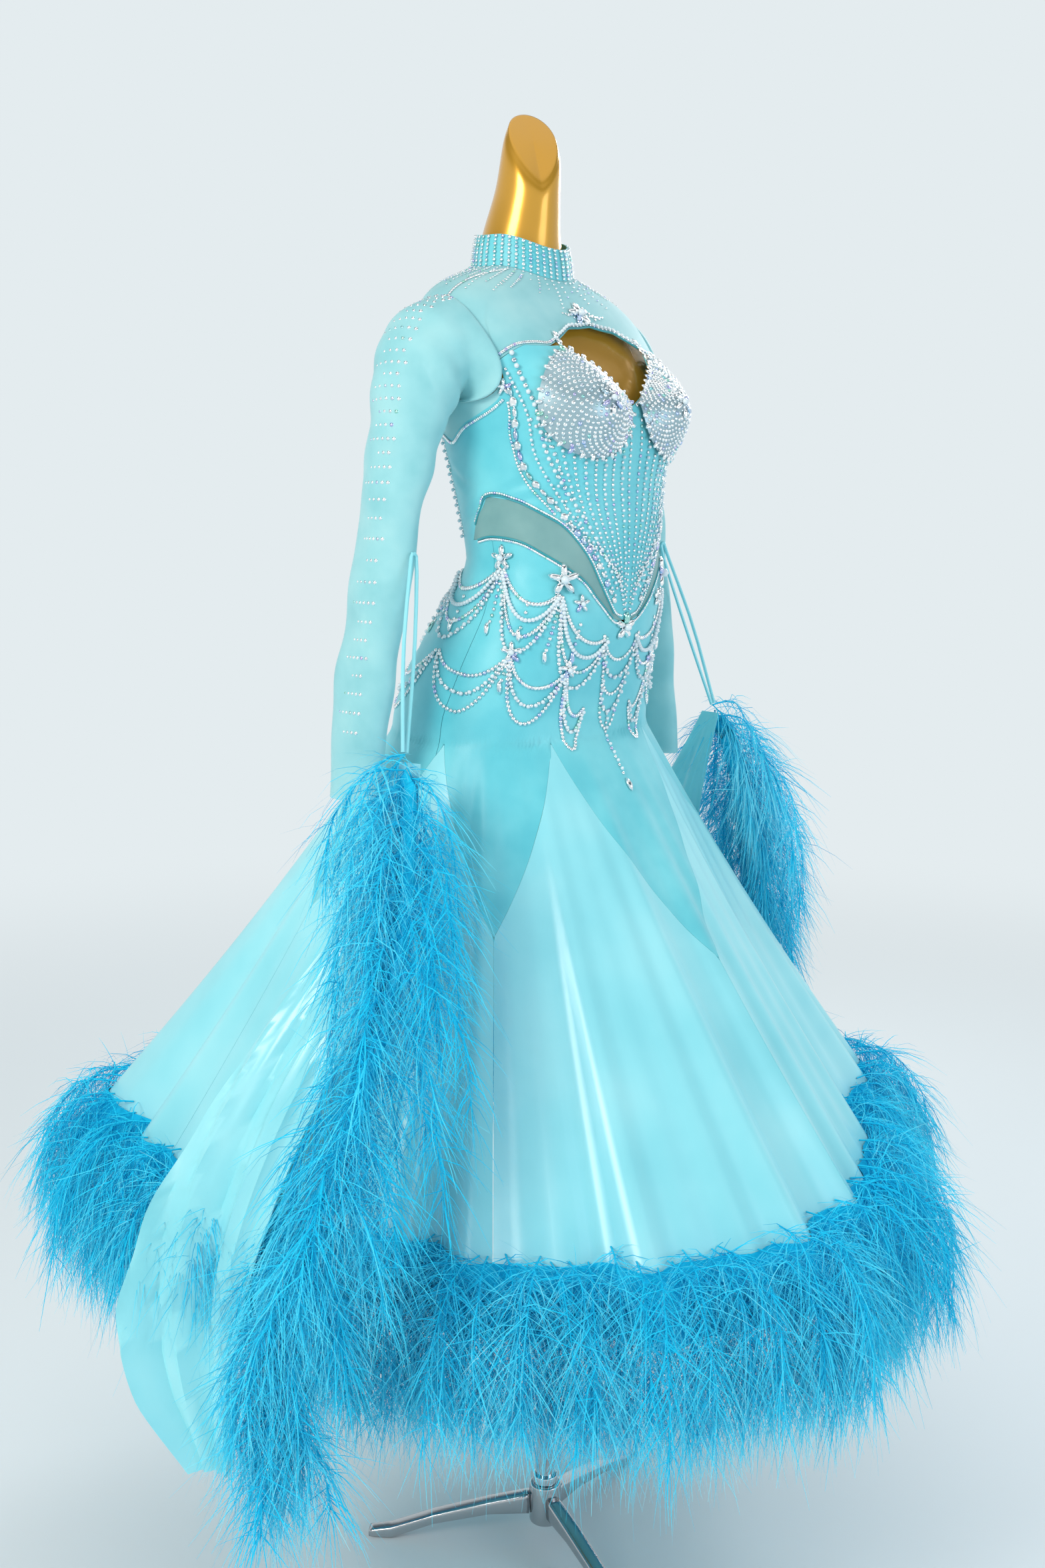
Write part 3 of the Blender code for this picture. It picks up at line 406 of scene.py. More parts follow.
# The waist's net, greyer because its dye is thinner.
WAIST_NET = patterned("grey_green_net", ((0.30, "#7FB3B4"), (0.5, "#8CBDBD"), (0.7, "#98C7C6")),
                      18, 1.6, 0.2, Roughness=0.6, Sheen_Weight=0.2, Alpha=0.70)
# Satin-covered cord, a darker teal than the cloth.
PIPING, _, _ = material("teal_piping", "#2E9DA8", Roughness=0.4, Sheen_Weight=0.2)
# Polyester satin, bright where the folds turn to the light.
SATIN = patterned("aqua_satin", ((0.28, "#83D9E4"), (0.5, "#90E1EB"), (0.72, "#A0E8F0")),
                  7, 0.9, 0.06, Roughness=0.34, Sheen_Weight=0.1, Specular_IOR_Level=0.8,
                  Coat_Weight=0.12, Coat_Roughness=0.32)
# Ostrich plumes, dyed a deeper blue that pales to the barbs' ends.
FEATHER = tinted("dyed_ostrich_plume", "tone",
                 ((0.0, "#10BAE6"), (0.35, "#22CCF2"), (0.7, "#58DCF6"), (1.0, "#A4ECF8")),
                 Roughness=0.7, Specular_IOR_Level=0.08)
# Foil-backed glass rhinestones, clear with a few of iridescent coats.
STONE = tinted("foiled_glass_rhinestone", "tint",
               ((0.0, "#FFFFFF"), (0.58, "#DCE6EA"), (0.72, "#BFD4F4"), (0.84, "#CFC4EE"),
                (0.92, "#B4E8D4"), (1.0, "#A2E0E6")),
               Roughness=0.05, Metallic=1.0)
# Glass pearls with a pale blue lustre.
PEARL, _, _ = material("pearl_lustre", "#DDEAF0", Roughness=0.2, Coat_Weight=0.6, Coat_Roughness=0.08)
# Silvery net that carries the stones of the cups.
CRUST, _, _ = material("silvered_net", "#9FB9C2", Roughness=0.35, Metallic=0.5)
# Gloss gold lacquer on the moulded form.
GOLD, _, _ = material("gold_lacquer", "#D09A2E", Roughness=0.26, Metallic=0.5, Coat_Weight=0.5,
                      Coat_Roughness=0.08)
CHROME, _, _ = material("chromed_steel", "#D5D7DA", Roughness=0.09, Metallic=1.0)
STEEL, _, _ = material("polished_steel", "#B9BBBE", Roughness=0.2, Metallic=1.0)


def ready(obj, name, finish, node=None):
    """Names a finished piece, gives it its finish and ties it to the frame."""
    obj.name = name
    obj.data.name = name
    obj.data.materials.clear()
    obj.data.materials.append(finish)
    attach(obj, "root")
    if node:
        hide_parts(node)
    return obj


def choose(obj):
    """Makes an object the only selected one, and the active one."""
    bpy.ops.object.select_all(action="DESELECT")
    obj.select_set(True)
    bpy.context.view_layer.objects.active = obj


def settle(obj):
    """Applies an object's place to its mesh, so that the object itself sits at the origin."""
    choose(obj)
    bpy.ops.object.transform_apply(location=True, rotation=True, scale=True)


def grid(columns, rows, place, wall=0.0, closed=False):
    """A grid whose points a function of u and v places, with a wall given to its inner side."""
    bpy.ops.object.select_all(action="DESELECT")
    bpy.ops.mesh.primitive_grid_add(x_subdivisions=columns, y_subdivisions=rows, size=1)
    obj = bpy.context.object
    mesh = obj.data
    flat = np.empty(len(mesh.vertices) * 3, np.float32)
    mesh.vertices.foreach_get("co", flat)
    u, v = flat.reshape(-1, 3)[:, 0] + 0.5, flat.reshape(-1, 3)[:, 1] + 0.5
    points = place(u.astype(float), v.astype(float)) + AXIS
    mesh.vertices.foreach_set("co", points.astype(np.float32).ravel())
    mesh.update()
    if closed:
        bpy.ops.object.mode_set(mode="EDIT")
        bpy.ops.mesh.select_all(action="SELECT")
        bpy.ops.mesh.remove_doubles(threshold=0.00002)
        bpy.ops.object.mode_set(mode="OBJECT")
    if wall:
        solid = obj.modifiers.new("wall", "SOLIDIFY")
        solid.thickness = wall
        solid.offset = -1.0
        bpy.ops.object.modifier_apply(modifier=solid.name)
    bpy.ops.object.shade_smooth()
    obj.data.set_sharp_from_angle(angle=math.radians(50))
    return obj


def fill_ends():
    """Closes the open ends of the grid just made and turns its faces outwards."""
    bpy.ops.object.mode_set(mode="EDIT")
    bpy.ops.mesh.select_all(action="SELECT")
    bpy.ops.mesh.fill_holes(sides=0)
    bpy.ops.mesh.normals_make_consistent(inside=False)
    bpy.ops.object.mode_set(mode="OBJECT")


def cut_of(place, lines=60):
    """Width, length and area of a panel laid flat, measured on its outer side."""
    u, v = np.meshgrid(np.linspace(0, 1, lines), np.linspace(0, 1, lines))
    points = place(u.ravel(), v.ravel()).reshape(lines, lines, 3)
    across, along = np.diff(points, axis=1), np.diff(points, axis=0)
    width = np.linalg.norm(across[..., :2], axis=2).sum(1).max()
    length = np.linalg.norm(along, axis=2).sum(0).max()
    area = np.linalg.norm(np.cross(across[:-1], along[:, :-1]), axis=2).sum()
    return (round(float(width), 3), round(float(length), 3)), round(float(area), 4)


def cloth(name, columns, rows, place, finish, closed=False):
    """A cloth piece that stands for the CAD node of its name; its cut is worked out and then not used."""
    obj = ready(grid(columns, rows, place, CLOTH, closed), name + "_cloth", finish, name)
    if name.startswith("sleeve"):
        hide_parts(name.replace("sleeve", "sleeve_lower"))
    flat, area = cut_of(place)
    return obj


def panel(name, angles, top, bottom, rows, finish, closed=False):
    """A panel of the gown between two edges, each a function from angle to level."""
    keys = np.linspace(0, 1, len(angles))

    def place(u, v):
        angle = np.interp(u, keys, angles)
        level = bottom(angle) + (top(angle) - bottom(angle)) * v
        return surface(angle, level)[0]

    return cloth(name, len(angles) - 1, rows, place, finish, closed)


def make_form():
    """The gold form as one smooth skin, with a rounded rim round its slanted cap."""
    sides = 97
    angle = np.linspace(0, 360, sides)
    c = np.cos(np.radians(angle))
    rings = []
    low = body(angle, np.full(sides, 0.98), 0, FORM_BUST)
    for share, z in ((0.02, FORM_BOTTOM), (0.86, FORM_BOTTOM), (0.93, FORM_BOTTOM + 0.004)):
        ring = low * share
        ring[:, 1] += 0.020 * (1 - share)
        ring[:, 2] = z
        rings.append(ring)
    for level in np.linspace(0.985, COLLAR_LEVEL, 93):
        levels = np.full(sides, level)
        across = body(angle + 0.5, levels, 0, FORM_BUST) - body(angle - 0.5, levels, 0, FORM_BUST)
        down = body(angle, levels - 0.004, 0, FORM_BUST) - body(angle, levels + 0.004, 0, FORM_BUST)
        inset = np.interp(level, FORM_INSETS[:, 0], FORM_INSETS[:, 1])
        rings.append(body(angle, levels, 0, FORM_BUST) - crossed(across, down) * inset)
    neck = [rings[-2], rings[-1]]
    turned = np.cos(np.radians(angle - CAP_TURN))
    for front_z, back_z, centre, radius in NECK:
        z = front_z + (back_z - front_z) * (0.5 - 0.5 * turned) ** CAP_ROUND
        neck.append(np.stack((radius * np.sin(np.radians(angle)), centre - radius * c, z), -1))
    rings += list(curve_through(neck, 41)[9:])
    rim = rings[-1]
    middle = rim[:-1].mean(0)
    for share, rise in ((0.965, 0.0012), (0.90, 0.0018), (0.02, 0.0022)):
        ring = middle + (rim - middle) * share
        ring[:, 2] += rise
        rings.append(ring)
    stack = np.array(rings)

    def place(u, v):
        column = np.rint(u * (sides - 1)).astype(int)
        row = np.rint(v * (len(stack) - 1)).astype(int)
        return stack[row, column]

    obj = grid(sides - 1, len(stack) - 1, place, closed=True)
    fill_ends()
    ready(obj, "form_skin", GOLD, "dress_form")


def rounded(obj, width, segments=3):
    """Rounds a solid's sharp edges with an applied bevel."""
    choose(obj)
    bevel = obj.modifiers.new("edges", "BEVEL")
    bevel.width = width
    bevel.segments = segments
    bevel.limit_method = "ANGLE"
    bpy.ops.object.modifier_apply(modifier=bevel.name)
    bpy.ops.object.shade_smooth()
    obj.data.set_sharp_from_angle(angle=math.radians(40))


def cylinder(radius, bottom, top, bevel, x=0.0, y=0.0):
    bpy.ops.object.select_all(action="DESELECT")
    bpy.ops.mesh.primitive_cylinder_add(vertices=64, radius=radius, depth=top - bottom,
                                        location=(AXIS[0] + x, AXIS[1] + y, (top + bottom) / 2))
    obj = bpy.context.object
    settle(obj)
    rounded(obj, bevel)
    return obj


def make_stand():
    """Pole, hub with a ring on it, and three arched legs."""
    ready(cylinder(POLE_RADIUS, HUB_TOP + GAP, FORM_BOTTOM - GAP, 0.0006), "pole_tube", CHROME,
          "form_pole")
    ready(cylinder(HUB_RADIUS, HUB_BOTTOM, HUB_TOP, 0.0025), "hub_body", STEEL, "stand_hub")
    ready(cylinder(0.0165, HUB_TOP + 0.0005, HUB_TOP + 0.012, 0.0015), "hub_ring", CHROME)
    sections = np.array(((HUB_RADIUS + GAP, 0.058, 0.022, 0.030), (0.075, 0.050, 0.022, 0.020),
                         (0.150, 0.031, 0.021, 0.015), (LEG_REACH - 0.018, 0.0095, 0.020, 0.017),
                         (LEG_REACH + 0.012, 0.0075, 0.018, 0.010)))
    for number, angle in enumerate(LEG_ANGLES, 1):
        a = math.radians(angle)
        along = np.array((math.sin(a), -math.cos(a), 0.0))
        across = np.array((-along[1], along[0], 0.0))

        def place(u, v):
            reach, middle, width, height = [
                np.interp(u, np.linspace(0, 1, len(sections)), column) for column in sections.T]
            turn = 2 * np.pi * v
            side, rise = power(power(np.sin(turn)), 0.5), power(power(np.cos(turn)), 0.5)
            z = middle + rise * height / 2
            return (along * reach[:, None] + across * (side * width / 2)[:, None]
                    + np.array((0, 0, 1.0)) * np.maximum(z, 0.0004)[:, None])

        obj = grid(24, 24, place, closed=True)
        fill_ends()
        ready(obj, f"leg_bar_{number}", STEEL, f"stand_leg_{number}")


def collar_point(u, v, lift=0.0):
    angle = 360 * u
    ring = body(angle, np.full(np.shape(u), COLLAR_LEVEL))
    shrink = 1 - 0.09 * v
    a = np.radians(angle)
    swell = 0.0008 * np.sin(np.pi * v) + lift
    x = ring[:, 0] * shrink + np.sin(a) * swell
    y = COLLAR_CENTRE + (ring[:, 1] - COLLAR_CENTRE) * shrink - np.cos(a) * swell
    return np.stack((x, y, ring[:, 2] + COLLAR_HEIGHT * v + GAP), -1)


def sleeve_rings(side, turns):
    """The sleeve's rings at some turns round it, from the armhole to the wrist."""
    mid, half_width, level, half_height = ARMHOLE
    hole = body(side * (mid + half_width * np.sin(turns)), level + half_height * np.cos(turns))
    whole = np.linspace(0, 2 * np.pi, 48, endpoint=False)
    centre = body(side * (mid + half_width * np.sin(whole)), level + half_height * np.cos(whole)).mean(0)
    rings = [centre + (hole - centre) * 0.985 + np.array((side * 0.0016, 0, 0)),
             centre + (hole - centre) * 1.01 + np.array((side * 0.008, 0, 0.001))]
    for z, out, y, wide, thick, tilt in SLEEVE:
        if side > 0:
            y += LEFT_SLEEVE_SHIFT * (SLEEVE[0][0] - z) / (SLEEVE[0][0] - SLEEVE[-1][0])
        up = np.array((side * math.cos(math.radians(tilt)), 0, math.sin(math.radians(tilt))))
        rings.append(np.array((side * out, y, z)) + np.outer(wide * np.sin(turns), (0, 1, 0))
                     + np.outer(thick * np.cos(turns), up))
    return np.array(rings)


def sleeve_point(side, u, v, lift=0.0):
    """Points of a sleeve: u goes round it from its outer side, v up it from the wrist."""
    turns = 2 * np.pi * u
    rows = sleeve_rings(side, turns)
    at = (1 - v) * (len(rows) - 1)
    ends = np.concatenate(([2 * rows[0] - rows[1]], rows, [2 * rows[-1] - rows[-2]]))
    i = np.minimum(at.astype(int), len(rows) - 2)
    t = (at - i)[:, None]
    k = np.arange(len(u))
    points = between(ends[i, k], ends[i + 1, k], ends[i + 2, k], ends[i + 3, k], t)
    outward = np.stack((side * np.cos(turns), np.sin(turns), np.zeros_like(turns)), -1)
    down = 1 - v
    slope = 30 * down + side * 1.3
    creases = (np.sin(slope + 1.7 * np.sin(turns + side) + 2.2 * np.sin(9 * down))
               + 0.7 * np.sin(2.1 * slope + 2.3 * np.cos(turns) + 1.0))
    flutes = np.sin(3 * turns + 5 * down + side) * 0.6
    depth = 0.0027 * np.clip((down - 0.12) / 0.2, 0, 1) * np.clip((1.05 - down) / 0.2, 0.25, 1)
    return points + outward * (depth * (0.6 * creases + flutes) + lift)[:, None]


def godet_place(middle):
    """Places a godet's grid: beside the zigzag first, then down to the hem."""
    def place(u, v):
        down = 1 - v
        split = 0.45
        reach = np.clip(down / split, 0, 1)
        turn = np.maximum(GODET_STEP / 2 * reach, 0.25) - 0.05
        angle = middle + turn * (2 * u - 1)
        ends = zigzag(middle - turn), zigzag(middle + turn)
        level = ends[0] + (ends[1] - ends[0]) * u - 0.0006
        bottom = hem(angle)[:, 1] + 0.010
        fall = np.clip((down - split) / (1 - split), 0, 1)
        return surface(angle, level + (bottom - level) * fall)[0]
    return place


def strip_place(tag):
    """Places a float's satin strip, with a few lengthwise ripples."""
    middle = curve_through([row[:3] for row in STRIPS[tag]], 60)
    widths = curve_through([(row[3],) for row in STRIPS[tag]], 60)[:, 0]

    def place(u, v):
        down = 1 - v
        keys = np.linspace(0, 1, 60)
        p = np.stack([np.interp(down, keys, middle[:, k]) for k in range(3)], -1)
        width = np.maximum(np.interp(down, keys, widths), 0.012)
        out = p * np.array((1, 1, 0))
        out /= np.linalg.norm(out, axis=1, keepdims=True)
        across = np.stack((-out[:, 1], out[:, 0], np.zeros(len(out))), -1)
        spread = 1 + 1.1 * np.clip(down * 1.6 - 0.25, 0, 1)
        share = u * spread - 0.5 if tag == "l" else 0.5 - (1 - u) * spread
        flare = 1.25 * width * np.clip(np.abs(share) - 0.5, 0, 2) * np.clip(down * 1.5 - 0.3, 0, 1)
        ripple = (0.006 * np.sin(3 * np.pi * share + 3.2 * down)
                  + 0.003 * np.sin(9 * np.pi * share + 7 * down)) * np.clip(down * 3, 0, 1)
        return p + across * (share * width)[:, None] + out * (ripple + flare)[:, None]
    return place


def make_cloth():
    around = np.linspace(0, 360, 181)
    cloth("collar", 96, 8, collar_point, STRETCH_KNIT,
          closed=True)
    panel("yoke", around, lambda a: np.full(a.shape, COLLAR_LEVEL), yoke_bottom, 30, MESH,
          closed=True)
    panel("bodice", np.arange(-130, 131, 2.0), lambda a: edge(BODICE_TOP, a),
          lambda a: edge(BODICE_BOTTOM, a), 56, STRETCH_KNIT)
    for side, tag in ((-1, "r"), (1, "l")):
        span = np.arange(2, 108, 1.0) * side
        panel(f"waist_mesh_{tag}", np.sort(span), lambda a: edge(BODICE_BOTTOM, a) - 0.0002,
              lambda a: edge(HIP_TOP, a) + 0.0002, 10, WAIST_NET)
        span = np.arange(65, 120, 1.0) * side
        panel(f"underarm_mesh_{tag}", np.sort(span), lambda a: armhole(a, -1),
              lambda a: edge(BODICE_TOP, a), 8, MESH)

        def placed(u, v, side=side):
            return sleeve_point(side, u if side < 0 else 1 - u, v)

        cloth(f"sleeve_{tag}", 56, 110, placed, MESH, closed=True)
    for name, low, high in (("hip_front", -91, 91), ("hip_back", 91, 269)):
        columns = np.concatenate(([low + 0.1], np.arange(low + 1.0, high), [high - 0.1]))
        panel(name, columns, lambda a: edge(HIP_TOP, a), zigzag, 34, STRETCH_KNIT)
    for number in range(1, 7):
        place = godet_place(GODET_FIRST + GODET_STEP * (number - 1))
        cloth(f"godet_{number}", 48, 72, place, SATIN)
    for tag in "rl":
        cloth(f"float_satin_{tag}", 18, 64, strip_place(tag), SATIN)
        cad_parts[f"strap_{tag}"].material_slots[0].material = SATIN


def from_arrays(name, points, faces, values, attribute):
    """One mesh from point and quad or triangle arrays, with a value stored on each point."""
    mesh = bpy.data.meshes.new(name)
    mesh.vertices.add(len(points))
    mesh.vertices.foreach_set("co", (points + AXIS).astype(np.float32).ravel())
    corners = faces.shape[1]
    mesh.loops.add(faces.size)
    mesh.loops.foreach_set("vertex_index", faces.astype(np.int32).ravel())
    mesh.polygons.add(len(faces))
    mesh.polygons.foreach_set("loop_start", np.arange(0, faces.size, corners, dtype=np.int32))
    mesh.update(calc_edges=True)
    mesh.attributes.new(attribute, "FLOAT", "POINT").data.foreach_set("value", values.astype(np.float32))
    obj = bpy.data.objects.new(name, mesh)
    bpy.context.scene.collection.objects.link(obj)
    return obj


def ribbons(base, direction, reach, droop, width, tone):
    """Thin curved barbs: points, quads and tones of ribbons that bend towards the ground."""
    steps = np.array((0.0, 0.36, 0.70, 1.0))
    slim = np.array((1.0, 0.95, 0.7, 0.22))
    count = len(base)
    sag = np.array((0, 0, -1.0)) * (reach * droop)[:, None]
    sag = sag + RANDOM.normal(size=(count, 3)) * (reach * 0.16)[:, None]
    middle = (base[:, None] + direction[:, None] * (reach[:, None] * steps)[..., None]
              + sag[:, None] * (steps ** 2)[None, :, None])
    wide = np.cross(direction, RANDOM.normal(size=(count, 3)))
    wide /= np.linalg.norm(wide, axis=1, keepdims=True)
    half = wide[:, None] * (width[:, None] * slim / 2)[..., None]
    points = np.stack((middle - half, middle + half), 2).reshape(-1, 3)
    tones = np.repeat(tone[:, None] + steps[None] * 0.45, 2, axis=1).ravel()
    first = np.arange(count)[:, None] * 2 * len(steps) + np.arange(len(steps) - 1)[None] * 2
    first = first.ravel()
    return points, np.stack((first, first + 1, first + 3, first + 2), 1), np.clip(tones, 0, 1)


def plume(root, out, length, quill, barbs, barb_length):
    """One plume's barbs on both sides of its arched quill."""
    flat = curve_through(quill, 25)
    across = np.array((-out[1], out[0], 0.0))
    lean = RANDOM.normal() * 0.16
    spine = (root + np.outer(flat[:, 0] * length, out + across * lean)
             - np.outer(flat[:, 1] * length, (0, 0, 1.0)))
    share = np.linspace(0.06, 1.0, barbs)
    at = share * 24
    i = np.minimum(at.astype(int), 23)
    t = (at - i)[:, None]
    base = spine[i] * (1 - t) + spine[i + 1] * t
    tangent = spine[i + 1] - spine[i]
    tangent /= np.linalg.norm(tangent, axis=1, keepdims=True)
    side = np.where(np.arange(barbs) % 2, 1.0, -1.0)
    direction = (tangent * (0.45 + 0.5 * share[:, None]) + across * (side * (0.95 - 0.45 * share))[:, None]
                 + RANDOM.normal(size=(barbs, 3)) * 0.5)
    direction /= np.linalg.norm(direction, axis=1, keepdims=True)
    reach = barb_length * (0.55 + 0.45 * np.sin(np.pi * np.clip(share, 0.1, 0.95)))
    reach = reach * RANDOM.uniform(0.7, 1.2, barbs)
    tone = np.full(barbs, RANDOM.uniform(0.05, 0.45)) + RANDOM.uniform(-0.05, 0.1, barbs)
    droop = RANDOM.uniform(0.35, 1.0, barbs)
    barb = ribbons(base, direction, reach, droop, RANDOM.uniform(0.0006, 0.0013, barbs), tone)
    return [barb, quill_tube(spine, across)]


def quill_tube(spine, across, thick=0.0011):
    """The thin tapering quill of a plume, or a float's thicker cord that its plumes are sewn to."""
    rings = spine[::4]
    taper = thick * np.linspace(1.0, 0.3, len(rings))[:, None]
    up = np.array((0, 0, 1.0))
    sides = [rings + across * taper, rings + up * taper, rings - across * taper, rings - up * taper]
    points = np.stack(sides, 1).reshape(-1, 3)
    k = np.arange(len(rings) - 1)[:, None] * 4
    j = np.arange(4)[None]
    faces = np.stack((k + j, k + (j + 1) % 4, k + 4 + (j + 1) % 4, k + 4 + j), -1).reshape(-1, 4)
    return points, faces, np.full(len(points), 0.25)


def hem_tape(middle):
    """The tape behind a hem section's plumes, dyed as they are, with a short fringe's drop."""
    columns = 41
    angles = middle + GODET_STEP * np.linspace(-0.5, 0.5, columns)
    level = hem(angles)[:, 1]
    rows = [surface(angles, level + rise, 0.0016)[0] for rise in (0.024, 0.004, -0.018, -0.040)]
    points = np.concatenate(rows)
    first = (np.arange(len(rows) - 1)[:, None] * columns + np.arange(columns - 1)[None]).ravel()
    faces = np.stack((first, first + 1, first + columns + 1, first + columns), 1)
    return points, faces, np.full(len(points), 0.1)


def join_feathers(name, parts, node):
    points, faces, tones, start = [], [], [], 0
    for p, f, t in parts:
        points.append(p)
        faces.append(f + start)
        tones.append(t)
        start += len(p)
    low, high = np.array(CAD_BOX[0]) - AXIS - STRAY, np.array(CAD_BOX[1]) - AXIS + STRAY
    kept = np.clip(np.concatenate(points), low, high)
    obj = from_arrays(name, kept, np.concatenate(faces), np.concatenate(tones), "tone")
    ready(obj, name, FEATHER, node)


def make_feathers():
    """Rows of plumes round the hem, and down each float."""
    for number in range(1, 7):
        middle = GODET_FIRST + GODET_STEP * (number - 1)
        parts = []
        for tier, (height, length, quill, count) in enumerate((
                (0.004, 0.128, QUILL_LOW, 26), (0.020, 0.138, QUILL_LOW, 27),
                (0.030, 0.148, QUILL_HIGH, 27))):
            for k in range(count):
                angle = middle + GODET_STEP * ((k + 0.5 + 0.2 * tier) / count - 0.5) + RANDOM.normal() * 0.5
                level = hem(angle)[1] + height + RANDOM.normal() * 0.004
                root = spot(angle, level, 0.001)[0][0]
                a = math.radians(angle + RANDOM.normal() * 6)
                out = np.array((math.sin(a), -math.cos(a), 0.0))
                size = length * RANDOM.uniform(0.82, 1.1)
                for pressed in PRESSED_BY_SATIN:
                    size *= 1 - 0.5 * math.exp(-(wrapped(angle - pressed) / 12) ** 2)
                parts += plume(root, out, size, quill, BARBS, 0.068)
        parts.append(hem_tape(middle))
        join_feathers(f"hem_plumes_{number}", parts, f"hem_feathers_{number}")
    for tag in "rl":
        path = curve_through(FLOATS[tag], 60)
        parts = []
        for k in range(FLOAT_PLUMES):
            share = (k + 0.5) / FLOAT_PLUMES
            p = path[min(int(share * 59), 58)]
            radial = np.array((p[0], p[1], 0.0)) / math.hypot(p[0], p[1])
            sideways = np.array((-radial[1], radial[0], 0.0))
            turn = (k % 3 - 1) * RANDOM.uniform(0.6, 1.3)
            aim = radial * (1.0 if k % 3 == 1 else 0.5) + sideways * turn
            aim /= np.linalg.norm(aim)
            size = (0.085 if turn < 0 else 0.118) * RANDOM.uniform(0.8, 1.12)
            size = size * np.interp(p[2], (0.5, 0.8, 1.0), (0.68, 1.05, 1.3))
            parts += plume(p, aim, size, QUILL_HIGH if k % 2 else QUILL_LOW, BARBS, 0.064)
        parts.append(quill_tube(path[4:], np.array((0.2, 1.0, 0.0)), 0.018))
        join_feathers(f"float_plumes_{tag}", parts, f"float_feathers_{tag}")


def brilliant(sides, table, squash=None):
    """Points and triangles of a cut stone of radius 1, standing on z = 0."""
    turn = 2 * np.pi * np.arange(sides) / sides
    shifted = turn + np.pi / sides
    outline = np.ones(sides) if squash is None else squash(turn)
    top = np.stack((table * outline * np.cos(shifted), table * outline * np.sin(shifted),
                    np.full(sides, 0.62)), -1)
    belt = np.stack((outline * np.cos(turn), outline * np.sin(turn), np.full(sides, 0.22)), -1)
    foot = belt * np.array((0.92, 0.92, 0.0))
    points = np.concatenate((top, belt, foot))
    faces = [(0, k, k + 1) for k in range(1, sides - 1)]
    for k in range(sides):
        j = (k + 1) % sides
        faces += [(k, sides + k, sides + j), (k, sides + j, j)]
        faces += [(sides + k, 2 * sides + k, 2 * sides + j), (sides + k, 2 * sides + j, sides + j)]
    return points, np.array(faces)


def ball():
    """Points and triangles of a small round pearl standing on z = 0."""
    bpy.ops.object.select_all(action="DESELECT")
    bpy.ops.mesh.primitive_ico_sphere_add(subdivisions=1, radius=1)
    obj = bpy.context.object
    points = np.array([v.co[:] for v in obj.data.vertices]) + np.array((0, 0, 0.8))
    faces = np.array([p.vertices[:] for p in obj.data.polygons])
    bpy.data.objects.remove(obj, do_unlink=True)
    return points, faces


SHAPES = {
    "round": brilliant(8, 0.56),
    "chip": brilliant(6, 0.5),
    "pear": brilliant(10, 0.5, lambda t: 1.0 / (1 + 0.75 * np.sin(t) ** 2)),
    "pearl": ball(),
}
LAID = {}


def lay(region, shape, points, normals, along, radii, stretch=1.0, iridescent=0.18):
    """Notes ornaments of one shape, one at each point, for a region's joined mesh."""
    LAID.setdefault((region, shape), []).append(
        (np.atleast_2d(points), np.atleast_2d(normals), np.atleast_2d(along),
         np.broadcast_to(radii, (len(np.atleast_2d(points)),)), stretch, iridescent))


def lay_line(region, keys, count, radii, shapes=("round",), stretch=1.0, taper=1.0):
    """Ornaments along a smooth line of angles and levels on the gown, the shapes taking turns."""
    fine = curve_through(keys, 240)
    points, normals = surface(fine[:, 0], fine[:, 1], STONE_LIFT)
    lengths = np.concatenate(([0], np.cumsum(np.linalg.norm(np.diff(points, axis=0), axis=1))))
    at = np.linspace(0, lengths[-1], count)
    place = np.stack([np.interp(at, lengths, points[:, k]) for k in range(3)], -1)
    face = np.stack([np.interp(at, lengths, normals[:, k]) for k in range(3)], -1)
    heading = np.gradient(place, axis=0)
    sizes = radii * np.linspace(1, taper, count)
    for k, shape in enumerate(shapes):
        chosen = slice(k, None, len(shapes))
        lay(region, shape, place[chosen], face[chosen], heading[chosen], sizes[chosen], stretch)


def join_ornaments():
    """Turns the noted ornaments into one mesh for each region and kind."""
    for (region, shape), rows in sorted(LAID.items()):
        base, faces = SHAPES[shape]
        points, triangles, tints, start = [], [], [], 0
        for place, normal, along, radii, stretch, iridescent in rows:
            normal = normal / np.linalg.norm(normal, axis=1, keepdims=True)
            along = along - normal * np.sum(along * normal, axis=1, keepdims=True)
            along /= np.maximum(np.linalg.norm(along, axis=1, keepdims=True), 1e-9)
            across = np.cross(normal, along)
            size = np.asarray(radii, float)[:, None, None]
            made = (place[:, None] + size * (base[None, :, :1] * stretch * along[:, None]
                                             + base[None, :, 1:2] * across[:, None]
                                             + base[None, :, 2:] * normal[:, None]))
            count = len(place)
            index = faces[None] + (np.arange(count) * len(base))[:, None, None] + start
            coated = RANDOM.uniform(size=count) < iridescent
            tint = np.where(coated, RANDOM.uniform(0.6, 1.0, count), RANDOM.uniform(0, 0.5, count))
            points.append(made.reshape(-1, 3))
            triangles.append(index.reshape(-1, 3))
            tints.append(np.repeat(tint, len(base)))
            start += count * len(base)
        name = f"{region}_{shape}_pearls" if shape == "pearl" else f"{region}_{shape}_stones"
        obj = from_arrays(name, np.concatenate(points), np.concatenate(triangles),
                          np.concatenate(tints), "tint")
        if shape == "pearl":
            obj.data.shade_smooth()
            ready(obj, name, PEARL)
        else:
            ready(obj, name, STONE)


def on_front(x, z):
    """Points and normals of the torso's front at side offsets and heights."""
    angle = np.degrees(np.arcsin(np.clip(x / 0.15, -1, 1)))
    level = np.array(z, float)
    for _ in range(14):
        p = gown(angle, level)
        angle = angle + (x - p[:, 0]) * 300
        level = level + (z - p[:, 2]) * 0.8
    return surface(angle, level)


